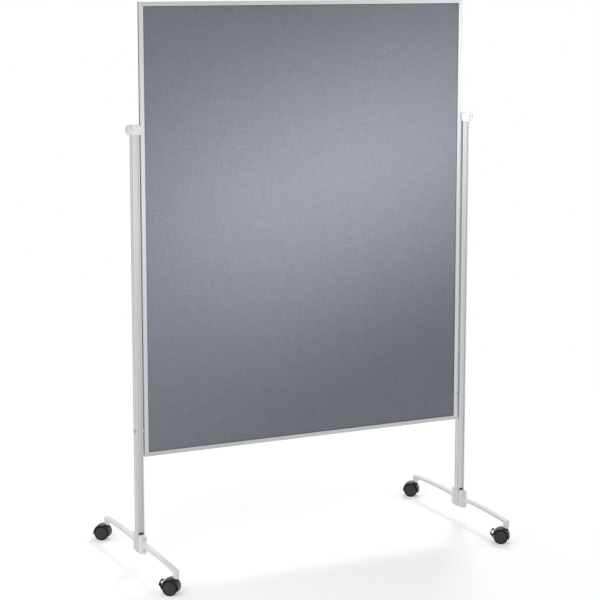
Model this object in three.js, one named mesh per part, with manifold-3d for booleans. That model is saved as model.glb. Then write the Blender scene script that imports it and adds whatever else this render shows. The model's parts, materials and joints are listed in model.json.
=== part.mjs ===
// A rolling partition: a felt-covered pin board in a slim aluminium frame, carried between two
// extruded posts that stand on cast feet with twin-wheel casters.
// Millimetres, +Z up, +X along the board, -Y the front. The origin lies on the floor, midway
// between the posts.
import * as THREE from 'three';
import { mergeVertices } from 'three/addons/utils/BufferGeometryUtils.js';
import Module from 'manifold-3d';

const wasm = await Module();
wasm.setup();

// ---------- driving dimensions ----------
const FIT = 0.3; // clearance between any two pieces that meet

const BOARD_WIDTH = 1200;
const BOARD_HEIGHT = 1500;
const BOARD_UNDERSIDE = 375; // floor to the board's lower edge
const CORE_THICKNESS = 8;
const FELT_THICKNESS = 2;
const RAIL_WALL = 1.8;
const RAIL_FACE = 14; // visible width of the frame
const RAIL_ROUND = 1;
const SLOT_WIDTH = 6; // mouth of the slot along a rail's outer side
const SLOT_ROOM = 2.8; // height of the slot's room, under its lips
const SLOT_FLOOR = 1.4; // web between the slot and the channel
const KEY_SPACE = 4; // room between that web and the core
const KEY_LEG = 60;
const NUT_PLATE_LENGTH = 40;

const BOARD_GAP = 6; // board's side to the post
const POST_WIDTH = 25;
const POST_DEPTH = 28;
const POST_WALL = 2;
const POST_ROUND = 1.5;
const CHANNEL_WIDTH = 16;
const CHANNEL_DEPTH = 2.4;
const LINE_INSET = 2.2; // shadow line on the post's sides, from the front and back faces
const LINE_WIDTH = 2.4;
const LINE_DEPTH = 1.4;
const POST_TOP = 1448;
const POST_BOTTOM = 53;
const ENTRY_SLOT_HEIGHT = 5;

const BRACKET_HEIGHT = 32;
const BRACKET_ROUND = 3;
const BRACKET_EDGE = 1.2;
const PLUG_LENGTH = 25;
const STUD_RADIUS = 4;
const STUD_GRIP = 8; // how far the stud enters the knob
const KNOB_RADIUS = 16.5;
const KNOB_THICKNESS = 15;
const KNOB_ROUND = 7;
const KNOB_EDGE = 1;
const KNOB_FLUTES = 10;
const FLUTE_RADIUS = 3;
const FLUTE_DEPTH = 0.9;

const SPACER_RADIUS = 8;
const SCREW_CLEARANCE = 22.9; // lower fixing's axis above the end of the corner key
const SCREW_RADIUS = 3;
const SCREW_HEAD_RADIUS = 5.5;
const SCREW_HEAD_LENGTH = 3.5;
const KEY_RADIUS = 2.2; // hexagon in the heads of screw and bolts
const KEY_DEPTH = 1.8;

const END_CAP_THICKNESS = 2.7;
const END_CAP_PLUG = 4.5;

const BOSS_RADIUS = 13;
const BOSS_TOP = 112;
const BOSS_BOTTOM = 50;
const BOSS_ROUND = 2.5;
const BOSS_PAD_WIDTH = 23; // flat that seats against the post
const BOLT_HEIGHTS = [63, 101];
const BOLT_RADIUS = 3;
const BOLT_HEAD_RADIUS = 5;
const BOLT_HEAD_LENGTH = 6;
const BOLT_HEAD_SINK = 1.5;
const BOLT_ENGAGEMENT = 16; // length of bolt in the rear boss

const ARM_WIDTH = 20;
const ARM_ROUND = 2.2;
const ARM_TOP_AT_BOSS = 88;
const ARM_TOP_AT_SOCKET = 82;
const ARM_ARCH = 7; // how far the arch's control point stands over the chord
const ARM_THICKNESS_AT_BOSS = 12.5;
const ARM_THICKNESS_AT_SOCKET = 10;
const STEM_DISTANCE = 322; // post's axis to the caster's stem
const SOCKET_BOTTOM = 56;
const SOCKET_EDGE = 0.8;

const STEM_GRIP_RADIUS = 5.5;
const STEM_GRIP_LENGTH = 23;
const STEM_SWIVEL_RADIUS = 4;
const STEM_SWIVEL_LENGTH = 23;
const STEM_FLANGE_RADIUS = 7.5;
const STEM_FLANGE_THICKNESS = 2.4;
const STEM_EDGE = 1;

const CASTER_HEADING = 143; // degrees from +X to the direction in which the wheels trail
const TRAIL = 17;
const WHEEL_RADIUS = 25;
const WHEEL_WIDTH = 14;
const WHEEL_ROUND = 2.2;
const WHEEL_DISH_RADIUS = 20;
const WHEEL_DISH_DEPTH = 1.2;
const WHEEL_SIDES = 24;
const AXLE_RADIUS = 3;
const AXLE_REACH = 11; // length of axle in each wheel
const WEB_THICKNESS = 13;
const WHEEL_SIDE_GAP = 0.7;
const HOOD_GAP = 1.3; // tread to hood
const HOOD_WALL = 3.8;
const HOOD_CROWN = 2;
const HOOD_FLAT = 13; // width of the hood's level band over both wheels
const HOOD_SHOULDER = 35; // width at which the crown turns in
const HOOD_TILT = 5; // degrees that the hood's open edge slopes down to the stem
const HOOD_DROP = 6; // hood's open edge below the axle
const SWIVEL_BOSS_RADIUS = 8;
const SWIVEL_BOSS_BOTTOM = 24;

const PEDAL_WIDTH = 23;
const PEDAL_PIVOT = new THREE.Vector2(20, 8); // from the axle: along the trail, and up
const PEDAL_PIN_RADIUS = 1.5;
const PEDAL_EYE_RADIUS = 3.5;
const PEDAL_TONGUE = 6;
const PEDAL_WALL = 2.4;
const PEDAL_REACH = 7.2; // tip of the raised pedal beyond the hood
const PEDAL_LIP = 2.4; // upper corner beyond the hood
const PEDAL_TOP = 21.9; // above the axle
const PEDAL_TIP_HEIGHT = 9.7; // above the axle
const PEDAL_ROOT_ANGLE = 41; // degrees above the axle at which the upper edge meets the hood

// ---------- sizes that follow ----------
const RAIL_DEPTH = CORE_THICKNESS + 2 * (FELT_THICKNESS + 2 * FIT + RAIL_WALL);
const CHANNEL_HALF = RAIL_DEPTH / 2 - RAIL_WALL; // half the inner depth of a rail
const WEB_INSET = RAIL_WALL + SLOT_ROOM + SLOT_FLOOR; // web's inner face, in from the outline
const CORE_EDGE = WEB_INSET + KEY_SPACE; // core's edge, in from the board's outline
const BOARD_CENTRE = BOARD_UNDERSIDE + BOARD_HEIGHT / 2;
const HOLLOW_X = POST_WIDTH / 2 - POST_WALL - LINE_DEPTH;
const HOLLOW_Y = POST_DEPTH / 2 - POST_WALL - CHANNEL_DEPTH;
const POST_AXIS = BOARD_WIDTH / 2 + BOARD_GAP + POST_WIDTH / 2;
const BOARD_SIDE = -(BOARD_GAP + POST_WIDTH / 2); // board's side, seen from the post's axis
const KNOB_HEIGHT = POST_TOP + BRACKET_HEIGHT / 2;
const KEY_INSET = WEB_INSET + FIT; // corner key, in from the board's outline
const SCREW_HEIGHT = BOARD_UNDERSIDE + KEY_INSET + KEY_LEG + SCREW_CLEARANCE;
const STUD_END = BOARD_SIDE - CORE_EDGE + FIT; // inner end of stud and lower screw
const BOSS_DISTANCE = POST_DEPTH / 2 + BOSS_RADIUS;
const SWIVEL_BOSS_TOP = SOCKET_BOTTOM - STEM_FLANGE_THICKNESS - 2 * FIT;
const WHEEL_INNER = WEB_THICKNESS / 2 + WHEEL_SIDE_GAP;
const WHEEL_OUTER = WHEEL_INNER + WHEEL_WIDTH;
const HOOD_INNER = WHEEL_RADIUS + HOOD_GAP;
const HOOD_OUTER = HOOD_INNER + HOOD_WALL;
const AXLE_END = WHEEL_INNER + AXLE_REACH;

// ---------- finishes ----------
function finish(color, metalness, roughness) {
	return { color, metalness, roughness };
}

const FINISH = {
	anodised: finish(0xc9cbce, 0.9, 0.35),
	felt: finish(0x77797f, 0, 0.95),
	fibreboard: finish(0x8d7355, 0, 0.9),
	greyCasting: finish(0xd0d2d4, 0.1, 0.45),
	greyPlastic: finish(0xc6c8ca, 0, 0.5),
	steel: finish(0xb4b6b8, 0.95, 0.3),
	zinc: finish(0xd8dadb, 0.9, 0.35),
	blackNylon: finish(0x1a1a1b, 0, 0.5),
	wheel: finish(0x46443f, 0, 0.6),
};

function piece(name, geometry, look) {
	const mesh = new THREE.Mesh(geometry, new THREE.MeshStandardMaterial(look));
	mesh.name = name;
	return mesh;
}

// ---------- solids ----------
function solidOf(geometry) {
	const bare = geometry.clone();
	bare.deleteAttribute('normal');
	bare.deleteAttribute('uv');
	const merged = mergeVertices(bare);
	return new wasm.Manifold(new wasm.Mesh({
		numProp: 3,
		vertProperties: new Float32Array(merged.attributes.position.array),
		triVerts: new Uint32Array(merged.index.array),
	}));
}

function geometryOf(solid) {
	const mesh = solid.getMesh();
	const indexed = new THREE.BufferGeometry();
	indexed.setAttribute('position', new THREE.BufferAttribute(mesh.vertProperties, 3));
	indexed.setIndex(new THREE.BufferAttribute(mesh.triVerts, 1));
	const faceted = indexed.toNonIndexed();
	faceted.computeVertexNormals();
	return faceted;
}

function join(...parts) {
	return geometryOf(parts.map(solidOf).reduce((whole, part) => whole.add(part)));
}

function cut(body, ...tools) {
	return geometryOf(tools.map(solidOf).reduce((whole, tool) => whole.subtract(tool), solidOf(body)));
}

// An outline extruded along X: the outline's x runs along Y, and its y runs up.
function alongX(shape, length, options = {}) {
	const settings = { depth: length, bevelEnabled: false, curveSegments: 6, ...options };
	const bar = new THREE.ExtrudeGeometry(shape, settings);
	bar.translate(0, 0, -length / 2);
	const along = new THREE.Vector3(1, 0, 0);
	const across = new THREE.Vector3(0, 1, 0);
	const up = new THREE.Vector3(0, 0, 1);
	return bar.applyMatrix4(new THREE.Matrix4().makeBasis(across, up, along));
}

// An outline extruded along Y: the outline's x runs along X, and its y runs up.
function alongY(shape, length, options = {}) {
	const settings = { depth: length, bevelEnabled: false, curveSegments: 8, ...options };
	const bar = new THREE.ExtrudeGeometry(shape, settings);
	bar.translate(0, 0, -length / 2);
	return bar.rotateX(Math.PI / 2);
}

function box(width, depth, height, x = 0, y = 0, z = 0) {
	return new THREE.BoxGeometry(width, depth, height).translate(x, y, z);
}

function rodX(radius, from, to, y, z, sides = 14) {
	const rod = new THREE.CylinderGeometry(radius, radius, to - from, sides);
	return rod.rotateZ(Math.PI / 2).translate((from + to) / 2, y, z);
}

function rodY(radius, from, to, x, z, sides = 14) {
	const rod = new THREE.CylinderGeometry(radius, radius, to - from, sides);
	return rod.translate(x, (from + to) / 2, z);
}

function rodZ(radius, from, to, x, y, sides = 16) {
	const rod = new THREE.CylinderGeometry(radius, radius, to - from, sides);
	return rod.rotateX(Math.PI / 2).translate(x, y, (from + to) / 2);
}

// A turned piece about Z from a path of radius and height that starts and ends on the axis.
function turned(path, sides, steps = 1) {
	const points = path.getPoints(steps);
	const lathe = new THREE.LatheGeometry(points, sides);
	return lathe.rotateX(Math.PI / 2);
}

function roundedRectangle(width, depth, radius) {
	const x = width / 2;
	const y = depth / 2;
	const shape = new THREE.Shape();
	shape.moveTo(-x + radius, -y);
	shape.lineTo(x - radius, -y);
	shape.absarc(x - radius, -y + radius, radius, -Math.PI / 2, 0);
	shape.lineTo(x, y - radius);
	shape.absarc(x - radius, y - radius, radius, 0, Math.PI / 2);
	shape.lineTo(-x + radius, y);
	shape.absarc(-x + radius, y - radius, radius, Math.PI / 2, Math.PI);
	shape.lineTo(-x, -y + radius);
	shape.absarc(-x + radius, -y + radius, radius, Math.PI, 1.5 * Math.PI);
	return shape;
}

// ---------- the framed board ----------
// A rail's section: x runs through the board's thickness, and y runs out to the board's edge at 0.
// A slot with two lips runs along the outer side, and the channel for core and felts faces inwards.
function railSection() {
	const half = RAIL_DEPTH / 2;
	const mouth = SLOT_WIDTH / 2;
	const room = RAIL_WALL + SLOT_ROOM;
	const shape = new THREE.Shape();
	shape.moveTo(-half, -RAIL_FACE);
	shape.lineTo(-CHANNEL_HALF, -RAIL_FACE);
	shape.lineTo(-CHANNEL_HALF, -WEB_INSET);
	shape.lineTo(CHANNEL_HALF, -WEB_INSET);
	shape.lineTo(CHANNEL_HALF, -RAIL_FACE);
	shape.lineTo(half, -RAIL_FACE);
	shape.lineTo(half, -RAIL_ROUND);
	shape.absarc(half - RAIL_ROUND, -RAIL_ROUND, RAIL_ROUND, 0, Math.PI / 2);
	shape.lineTo(mouth, 0);
	shape.lineTo(mouth, -RAIL_WALL);
	shape.lineTo(CHANNEL_HALF, -RAIL_WALL);
	shape.lineTo(CHANNEL_HALF, -room);
	shape.lineTo(-CHANNEL_HALF, -room);
	shape.lineTo(-CHANNEL_HALF, -RAIL_WALL);
	shape.lineTo(-mouth, -RAIL_WALL);
	shape.lineTo(-mouth, 0);
	shape.lineTo(-half + RAIL_ROUND, 0);
	shape.absarc(-half + RAIL_ROUND, -RAIL_ROUND, RAIL_ROUND, Math.PI / 2, Math.PI);
	return shape;
}

// A rail along X, its outer edge at z = 0, its ends cut at 45 degrees for the mitre.
function mitredRail(length) {
	const rail = alongX(railSection(), length, { curveSegments: 3 });
	const place = rail.attributes.position;
	for (let i = 0; i < place.count; i += 1) {
		const end = Math.sign(place.getX(i));
		place.setX(i, end * (length / 2 - FIT / 2 + place.getZ(i)));
	}
	return rail;
}

function boardRails() {
	const hole = rodZ(STUD_RADIUS + FIT, -2 * WEB_INSET, WEB_INSET, 0, 0);
	const smallHole = rodZ(SCREW_RADIUS + FIT, -2 * WEB_INSET, WEB_INSET, 0, 0);
	const stile = (side) => cut(
		mitredRail(BOARD_HEIGHT),
		hole.clone().translate(side * (BOARD_CENTRE - KNOB_HEIGHT), 0, 0),
		smallHole.clone().translate(side * (BOARD_CENTRE - SCREW_HEIGHT), 0, 0),
	);
	const top = piece('top_rail', mitredRail(BOARD_WIDTH), FINISH.anodised);
	top.position.set(0, 0, BOARD_UNDERSIDE + BOARD_HEIGHT);
	const bottom = piece('bottom_rail', mitredRail(BOARD_WIDTH), FINISH.anodised);
	bottom.position.set(0, 0, BOARD_UNDERSIDE);
	bottom.rotation.y = Math.PI;
	const left = piece('left_rail', stile(-1), FINISH.anodised);
	left.position.set(-BOARD_WIDTH / 2, 0, BOARD_CENTRE);
	left.rotation.y = -Math.PI / 2;
	const right = piece('right_rail', stile(1), FINISH.anodised);
	right.position.set(BOARD_WIDTH / 2, 0, BOARD_CENTRE);
	right.rotation.y = Math.PI / 2;
	return [top, bottom, left, right];
}

function boardPanel() {
	const width = BOARD_WIDTH - 2 * CORE_EDGE;
	const height = BOARD_HEIGHT - 2 * CORE_EDGE;
	const core = piece('board_core', box(width, CORE_THICKNESS, height), FINISH.fibreboard);
	const front = piece('felt_front', box(width, FELT_THICKNESS, height), FINISH.felt);
	const back = piece('felt_back', box(width, FELT_THICKNESS, height), FINISH.felt);
	const feltPlace = (CORE_THICKNESS + FELT_THICKNESS) / 2 + FIT;
	core.position.set(0, 0, BOARD_CENTRE);
	front.position.set(0, -feltPlace, BOARD_CENTRE);
	back.position.set(0, feltPlace, BOARD_CENTRE);
	return [core, front, back];
}

// An angle that slides into two rails at a corner of the board and holds the mitre shut.
function cornerKey(name, sideX, sideZ) {
	const thickness = KEY_SPACE - 2 * FIT;
	const shape = new THREE.Shape();
	shape.moveTo(0, 0);
	shape.lineTo(-sideX * KEY_LEG, 0);
	shape.lineTo(-sideX * KEY_LEG, -sideZ * thickness);
	shape.lineTo(-sideX * thickness, -sideZ * thickness);
	shape.lineTo(-sideX * thickness, -sideZ * KEY_LEG);
	shape.lineTo(0, -sideZ * KEY_LEG);
	const key = piece(name, alongY(shape, 2 * (CHANNEL_HALF - FIT)), FINISH.zinc);
	const cornerX = BOARD_WIDTH / 2 - KEY_INSET;
	const cornerZ = BOARD_HEIGHT / 2 - KEY_INSET;
	key.position.set(sideX * cornerX, 0, BOARD_CENTRE + sideZ * cornerZ);
	return key;
}

// A plate inside a side rail that takes the thread of the stud or of the lower screw.
function nutPlate(name, boreRadius, height) {
	const thickness = KEY_SPACE - 2 * FIT;
	const plate = box(thickness, 2 * (CHANNEL_HALF - FIT), NUT_PLATE_LENGTH);
	const bore = rodX(boreRadius + FIT, -thickness, thickness, 0, 0);
	const made = piece(name, cut(plate, bore), FINISH.zinc);
	made.position.set(BOARD_SIDE - WEB_INSET - KEY_SPACE / 2, 0, height);
	return made;
}

// ---------- a post and what it carries ----------
// A quarter of the post's section, from the mouth of the front channel to the shadow line on the
// side, mirrored to the whole outline, with the hollow inside it.
function postSection() {
	const x = POST_WIDTH / 2;
	const y = POST_DEPTH / 2;
	const line = y - POST_ROUND - LINE_INSET;
	const bend = new THREE.Path();
	bend.absarc(x - POST_ROUND, y - POST_ROUND, POST_ROUND, Math.PI / 2, 0, true);
	const quarter = [
		new THREE.Vector2(CHANNEL_WIDTH / 2, y - CHANNEL_DEPTH),
		new THREE.Vector2(CHANNEL_WIDTH / 2, y),
		...bend.getPoints(2),
		new THREE.Vector2(x, line),
		new THREE.Vector2(x - LINE_DEPTH, line - LINE_WIDTH / 2),
		new THREE.Vector2(x, line - LINE_WIDTH),
	];
	const mirrored = (signX, signY) => quarter.map((p) => new THREE.Vector2(signX * p.x, signY * p.y));
	const shape = new THREE.Shape([
		...mirrored(1, 1),
		...mirrored(1, -1).reverse(),
		...mirrored(-1, -1),
		...mirrored(-1, 1).reverse(),
	]);
	shape.holes.push(new THREE.Path([
		new THREE.Vector2(-HOLLOW_X, -HOLLOW_Y),
		new THREE.Vector2(HOLLOW_X, -HOLLOW_Y),
		new THREE.Vector2(HOLLOW_X, HOLLOW_Y),
		new THREE.Vector2(-HOLLOW_X, HOLLOW_Y),
	]));
	return shape;
}

// The post, open at both ends, with slots above the feet where nuts enter the channels.
function postExtrusion() {
	const length = POST_TOP - POST_BOTTOM;
	const bar = new THREE.ExtrudeGeometry(postSection(), { depth: length, bevelEnabled: false });
	bar.translate(0, 0, POST_BOTTOM);
	const slotHeight = BOSS_TOP + FIT + ENTRY_SLOT_HEIGHT / 2;
	return cut(
		bar,
		box(CHANNEL_WIDTH, 2 * POST_DEPTH, ENTRY_SLOT_HEIGHT, 0, 0, slotHeight),
		rodX(SCREW_RADIUS + FIT, -POST_WIDTH, POST_WIDTH, 0, SCREW_HEIGHT),
		...BOLT_HEIGHTS.map((height) => rodY(BOLT_RADIUS + FIT, -POST_DEPTH, POST_DEPTH, 0, height)),
	);
}

function hollowPlug(from, to) {
	return box(2 * (HOLLOW_X - FIT), 2 * (HOLLOW_Y - FIT), to - from, 0, 0, (from + to) / 2);
}

// The block that closes the post's top and reaches across to the side of the board.
function topBracket() {
	const inner = BOARD_SIDE + FIT;
	const outer = POST_WIDTH / 2;
	const bottom = POST_TOP + FIT;
	const height = BRACKET_HEIGHT - FIT;
	const block = new THREE.ExtrudeGeometry(
		roundedRectangle(outer - inner, POST_DEPTH, BRACKET_ROUND),
		{
			depth: height - 2 * BRACKET_EDGE,
			bevelThickness: BRACKET_EDGE,
			bevelSize: BRACKET_EDGE,
			bevelOffset: -BRACKET_EDGE,
			bevelSegments: 1,
			curveSegments: 2,
		},
	);
	block.translate((inner + outer) / 2, 0, bottom + BRACKET_EDGE);
	const body = join(block, hollowPlug(POST_TOP - PLUG_LENGTH, KNOB_HEIGHT));
	return cut(body, rodX(STUD_RADIUS + FIT, inner - POST_WIDTH, 2 * outer, 0, KNOB_HEIGHT));
}

// The hand knob about X, its inner face at x = 0, with a blind bore for the stud.
function clampKnob() {
	const bore = STUD_RADIUS + FIT;
	const floor = STUD_GRIP + FIT;
	const path = new THREE.Path();
	path.moveTo(0, floor);
	path.lineTo(bore, floor);
	path.lineTo(bore, 0);
	path.lineTo(KNOB_RADIUS - KNOB_EDGE, 0);
	path.lineTo(KNOB_RADIUS, KNOB_EDGE);
	path.lineTo(KNOB_RADIUS, KNOB_THICKNESS - KNOB_ROUND);
	path.absarc(KNOB_RADIUS - KNOB_ROUND, KNOB_THICKNESS - KNOB_ROUND, KNOB_ROUND, 0, Math.PI / 2);
	path.lineTo(0, KNOB_THICKNESS);
	const body = turned(path, 20, 2);
	const reach = KNOB_RADIUS + FLUTE_RADIUS - FLUTE_DEPTH;
	const flutes = [];
	for (let i = 0; i < KNOB_FLUTES; i += 1) {
		const turn = (2 * Math.PI * i) / KNOB_FLUTES;
		const x = reach * Math.cos(turn);
		const y = reach * Math.sin(turn);
		flutes.push(rodZ(FLUTE_RADIUS, -KNOB_EDGE, KNOB_THICKNESS + KNOB_EDGE, x, y, 10));
	}
	return cut(body, ...flutes).rotateY(Math.PI / 2);
}

// A screw along X through the post into the board's side rail, its head outside the post.
function lowerScrew() {
	const seat = POST_WIDTH / 2 + FIT;
	const top = seat + SCREW_HEAD_LENGTH;
	return cut(
		join(
			rodX(SCREW_HEAD_RADIUS, seat, top, 0, SCREW_HEIGHT),
			rodX(SCREW_RADIUS, STUD_END, seat + SCREW_HEAD_LENGTH / 2, 0, SCREW_HEIGHT),
		),
		rodX(KEY_RADIUS, top - KEY_DEPTH, top + KEY_DEPTH, 0, SCREW_HEIGHT, 6),
	);
}

function lowerSpacer() {
	const disc = rodX(SPACER_RADIUS, BOARD_SIDE + FIT, -POST_WIDTH / 2 - FIT, 0, SCREW_HEIGHT);
	return cut(disc, rodX(SCREW_RADIUS + FIT, BOARD_SIDE, 0, 0, SCREW_HEIGHT));
}

function postEndCap() {
	const top = POST_BOTTOM - FIT;
	const plate = new THREE.ExtrudeGeometry(
		roundedRectangle(POST_WIDTH, POST_DEPTH, POST_ROUND),
		{ depth: END_CAP_THICKNESS, bevelEnabled: false, curveSegments: 3 },
	);
	plate.translate(0, 0, top - END_CAP_THICKNESS);
	return join(plate, hollowPlug(top - END_CAP_THICKNESS / 2, top + END_CAP_PLUG));
}

// One post with its fittings. Inside the group +X points away from the board.
function postAssembly(side) {
	const name = side > 0 ? 'right' : 'left';
	const group = new THREE.Group();
	group.position.x = side * POST_AXIS;
	group.rotation.z = side > 0 ? 0 : Math.PI;
	const knob = piece(`${name}_clamp_knob`, clampKnob(), FINISH.greyPlastic);
	knob.position.set(POST_WIDTH / 2 + FIT, 0, KNOB_HEIGHT);
	const studTip = POST_WIDTH / 2 + FIT + STUD_GRIP;
	group.add(
		piece(`${name}_post`, postExtrusion(), FINISH.anodised),
		piece(`${name}_post_end_cap`, postEndCap(), FINISH.greyPlastic),
		piece(`${name}_top_bracket`, topBracket(), FINISH.greyPlastic),
		piece(`${name}_clamp_stud`, rodX(STUD_RADIUS, STUD_END, studTip, 0, KNOB_HEIGHT), FINISH.steel),
		knob,
		nutPlate(`${name}_stud_plate`, STUD_RADIUS, KNOB_HEIGHT),
		piece(`${name}_lower_spacer`, lowerSpacer(), FINISH.greyPlastic),
		piece(`${name}_lower_screw`, lowerScrew(), FINISH.steel),
	);
	return group;
}

// ---------- a foot ----------
// The arm's side view: x runs away from the post, and y runs up.
function armProfile() {
	const start = BOSS_DISTANCE;
	const end = STEM_DISTANCE;
	const middle = (start + end) / 2;
	const top = (ARM_TOP_AT_BOSS + ARM_TOP_AT_SOCKET) / 2 + ARM_ARCH;
	const thickness = (ARM_THICKNESS_AT_BOSS + ARM_THICKNESS_AT_SOCKET) / 2;
	const shape = new THREE.Shape();
	shape.moveTo(start, ARM_TOP_AT_BOSS);
	shape.lineTo(start, ARM_TOP_AT_BOSS - ARM_THICKNESS_AT_BOSS);
	shape.quadraticCurveTo(middle, top - thickness, end, ARM_TOP_AT_SOCKET - ARM_THICKNESS_AT_SOCKET);
	shape.lineTo(end, ARM_TOP_AT_SOCKET);
	shape.quadraticCurveTo(middle, top, start, ARM_TOP_AT_BOSS);
	return shape;
}

// The round boss that is bolted to the post, with a flat pad against the post's face.
function footBoss() {
	const path = new THREE.Path();
	path.moveTo(0, BOSS_BOTTOM);
	path.lineTo(BOSS_RADIUS - BOSS_ROUND, BOSS_BOTTOM);
	path.absarc(BOSS_RADIUS - BOSS_ROUND, BOSS_BOTTOM + BOSS_ROUND, BOSS_ROUND, -Math.PI / 2, 0);
	path.lineTo(BOSS_RADIUS, BOSS_TOP - BOSS_ROUND);
	path.absarc(BOSS_RADIUS - BOSS_ROUND, BOSS_TOP - BOSS_ROUND, BOSS_ROUND, 0, Math.PI / 2);
	path.lineTo(0, BOSS_TOP);
	const seat = POST_DEPTH / 2 + FIT;
	const depth = BOSS_DISTANCE - seat;
	const height = BOSS_TOP - BOSS_BOTTOM - BOSS_ROUND;
	const centre = (BOSS_TOP + BOSS_BOTTOM) / 2;
	const pad = box(BOSS_PAD_WIDTH, depth, height, 0, seat + depth / 2, centre);
	const round = turned(path, 20).translate(0, BOSS_DISTANCE, 0);
	const trim = box(2 * POST_WIDTH, 2 * seat, 2 * BOSS_TOP, 0, 0, BOSS_TOP);
	return cut(join(round, pad), trim);
}

// The upright socket at the arm's end that takes the caster's stem.
function armSocket() {
	const radius = ARM_WIDTH / 2;
	const path = new THREE.Path();
	path.moveTo(0, SOCKET_BOTTOM);
	path.lineTo(radius - SOCKET_EDGE, SOCKET_BOTTOM);
	path.lineTo(radius, SOCKET_BOTTOM + SOCKET_EDGE);
	path.lineTo(radius, ARM_TOP_AT_SOCKET - ARM_ROUND);
	path.absarc(radius - ARM_ROUND, ARM_TOP_AT_SOCKET - ARM_ROUND, ARM_ROUND, 0, Math.PI / 2);
	path.lineTo(0, ARM_TOP_AT_SOCKET);
	return turned(path, 16).translate(0, STEM_DISTANCE, 0);
}

// A foot's arm towards +Y. The front one takes the bolts' heads, and the rear one their threads.
function footArm(isFront) {
	const bar = alongX(armProfile(), ARM_WIDTH - 2 * ARM_ROUND, {
		bevelEnabled: true,
		bevelThickness: ARM_ROUND,
		bevelSize: ARM_ROUND,
		bevelOffset: -ARM_ROUND,
		bevelSegments: 1,
		curveSegments: 7,
	});
	const seat = POST_DEPTH / 2 + FIT;
	const outside = BOSS_DISTANCE + BOSS_RADIUS;
	const headSeat = outside - BOLT_HEAD_SINK - BOLT_HEAD_LENGTH - FIT;
	const threadEnd = seat + BOLT_ENGAGEMENT + FIT;
	const holes = BOLT_HEIGHTS.flatMap((height) => (isFront
		? [
			rodY(BOLT_RADIUS + FIT, 0, 2 * outside, 0, height),
			rodY(BOLT_HEAD_RADIUS + FIT, headSeat, 2 * outside, 0, height),
		]
		: [rodY(BOLT_RADIUS + FIT, 0, threadEnd, 0, height)]));
	const stemTop = SOCKET_BOTTOM + STEM_GRIP_LENGTH + FIT;
	const stemBore = rodZ(STEM_GRIP_RADIUS + FIT, BOSS_BOTTOM, stemTop, 0, STEM_DISTANCE);
	return cut(join(bar, footBoss(), armSocket()), stemBore, ...holes);
}

// A bolt along Y: its head in the front boss, its thread in the rear boss.
function footBolt(height) {
	const headFace = -(BOSS_DISTANCE + BOSS_RADIUS - BOLT_HEAD_SINK);
	const headEnd = headFace + BOLT_HEAD_LENGTH;
	const tip = POST_DEPTH / 2 + FIT + BOLT_ENGAGEMENT;
	return cut(
		join(
			rodY(BOLT_HEAD_RADIUS, headFace, headEnd, 0, height),
			rodY(BOLT_RADIUS, headEnd - BOLT_HEAD_LENGTH / 2, tip, 0, height),
		),
		rodY(KEY_RADIUS, headFace - KEY_DEPTH, headFace + KEY_DEPTH, 0, height, 6),
	);
}

// The caster's stem: gripped in the arm's socket above, with the swivel journal below.
function casterStem() {
	const flangeTop = SOCKET_BOTTOM - FIT;
	const flangeBottom = flangeTop - STEM_FLANGE_THICKNESS;
	const top = SOCKET_BOTTOM + STEM_GRIP_LENGTH;
	const path = new THREE.Path();
	path.moveTo(0, flangeBottom - STEM_SWIVEL_LENGTH);
	path.lineTo(STEM_SWIVEL_RADIUS, flangeBottom - STEM_SWIVEL_LENGTH);
	path.lineTo(STEM_SWIVEL_RADIUS, flangeBottom);
	path.lineTo(STEM_FLANGE_RADIUS, flangeBottom);
	path.lineTo(STEM_FLANGE_RADIUS, flangeTop);
	path.lineTo(STEM_GRIP_RADIUS, flangeTop);
	path.lineTo(STEM_GRIP_RADIUS, top - STEM_EDGE);
	path.lineTo(STEM_GRIP_RADIUS - STEM_EDGE, top);
	path.lineTo(0, top);
	return turned(path, 12);
}

function footAssembly(side) {
	const name = side > 0 ? 'right' : 'left';
	const group = new THREE.Group();
	group.position.x = side * POST_AXIS;
	const rear = piece(`${name}_rear_arm`, footArm(false), FINISH.greyCasting);
	const front = piece(`${name}_front_arm`, footArm(true), FINISH.greyCasting);
	front.rotation.z = Math.PI;
	group.add(rear, front);
	BOLT_HEIGHTS.forEach((height, index) => {
		group.add(piece(`${name}_foot_bolt_${index + 1}`, footBolt(height), FINISH.steel));
	});
	return group;
}

// ---------- a caster ----------
// Inside a caster's group the stem's axis is x = y = 0, the wheels trail towards +X, and their
// axle lies along Y.
function besideAxle(geometry) {
	return geometry.translate(TRAIL, 0, WHEEL_RADIUS);
}

// The hood as a full crowned disc about Y, before the wheels' room is cut out of it.
function hoodDisc() {
	const half = WHEEL_OUTER;
	const side = HOOD_OUTER - HOOD_CROWN;
	const path = new THREE.Path();
	path.moveTo(0, -half);
	path.lineTo(side, -half);
	path.quadraticCurveTo(HOOD_OUTER, -HOOD_SHOULDER / 2, HOOD_OUTER, -HOOD_FLAT / 2);
	path.lineTo(HOOD_OUTER, HOOD_FLAT / 2);
	path.quadraticCurveTo(HOOD_OUTER, HOOD_SHOULDER / 2, side, half);
	path.lineTo(0, half);
	return turned(path, 28, 2).rotateX(Math.PI / 2);
}

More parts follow.
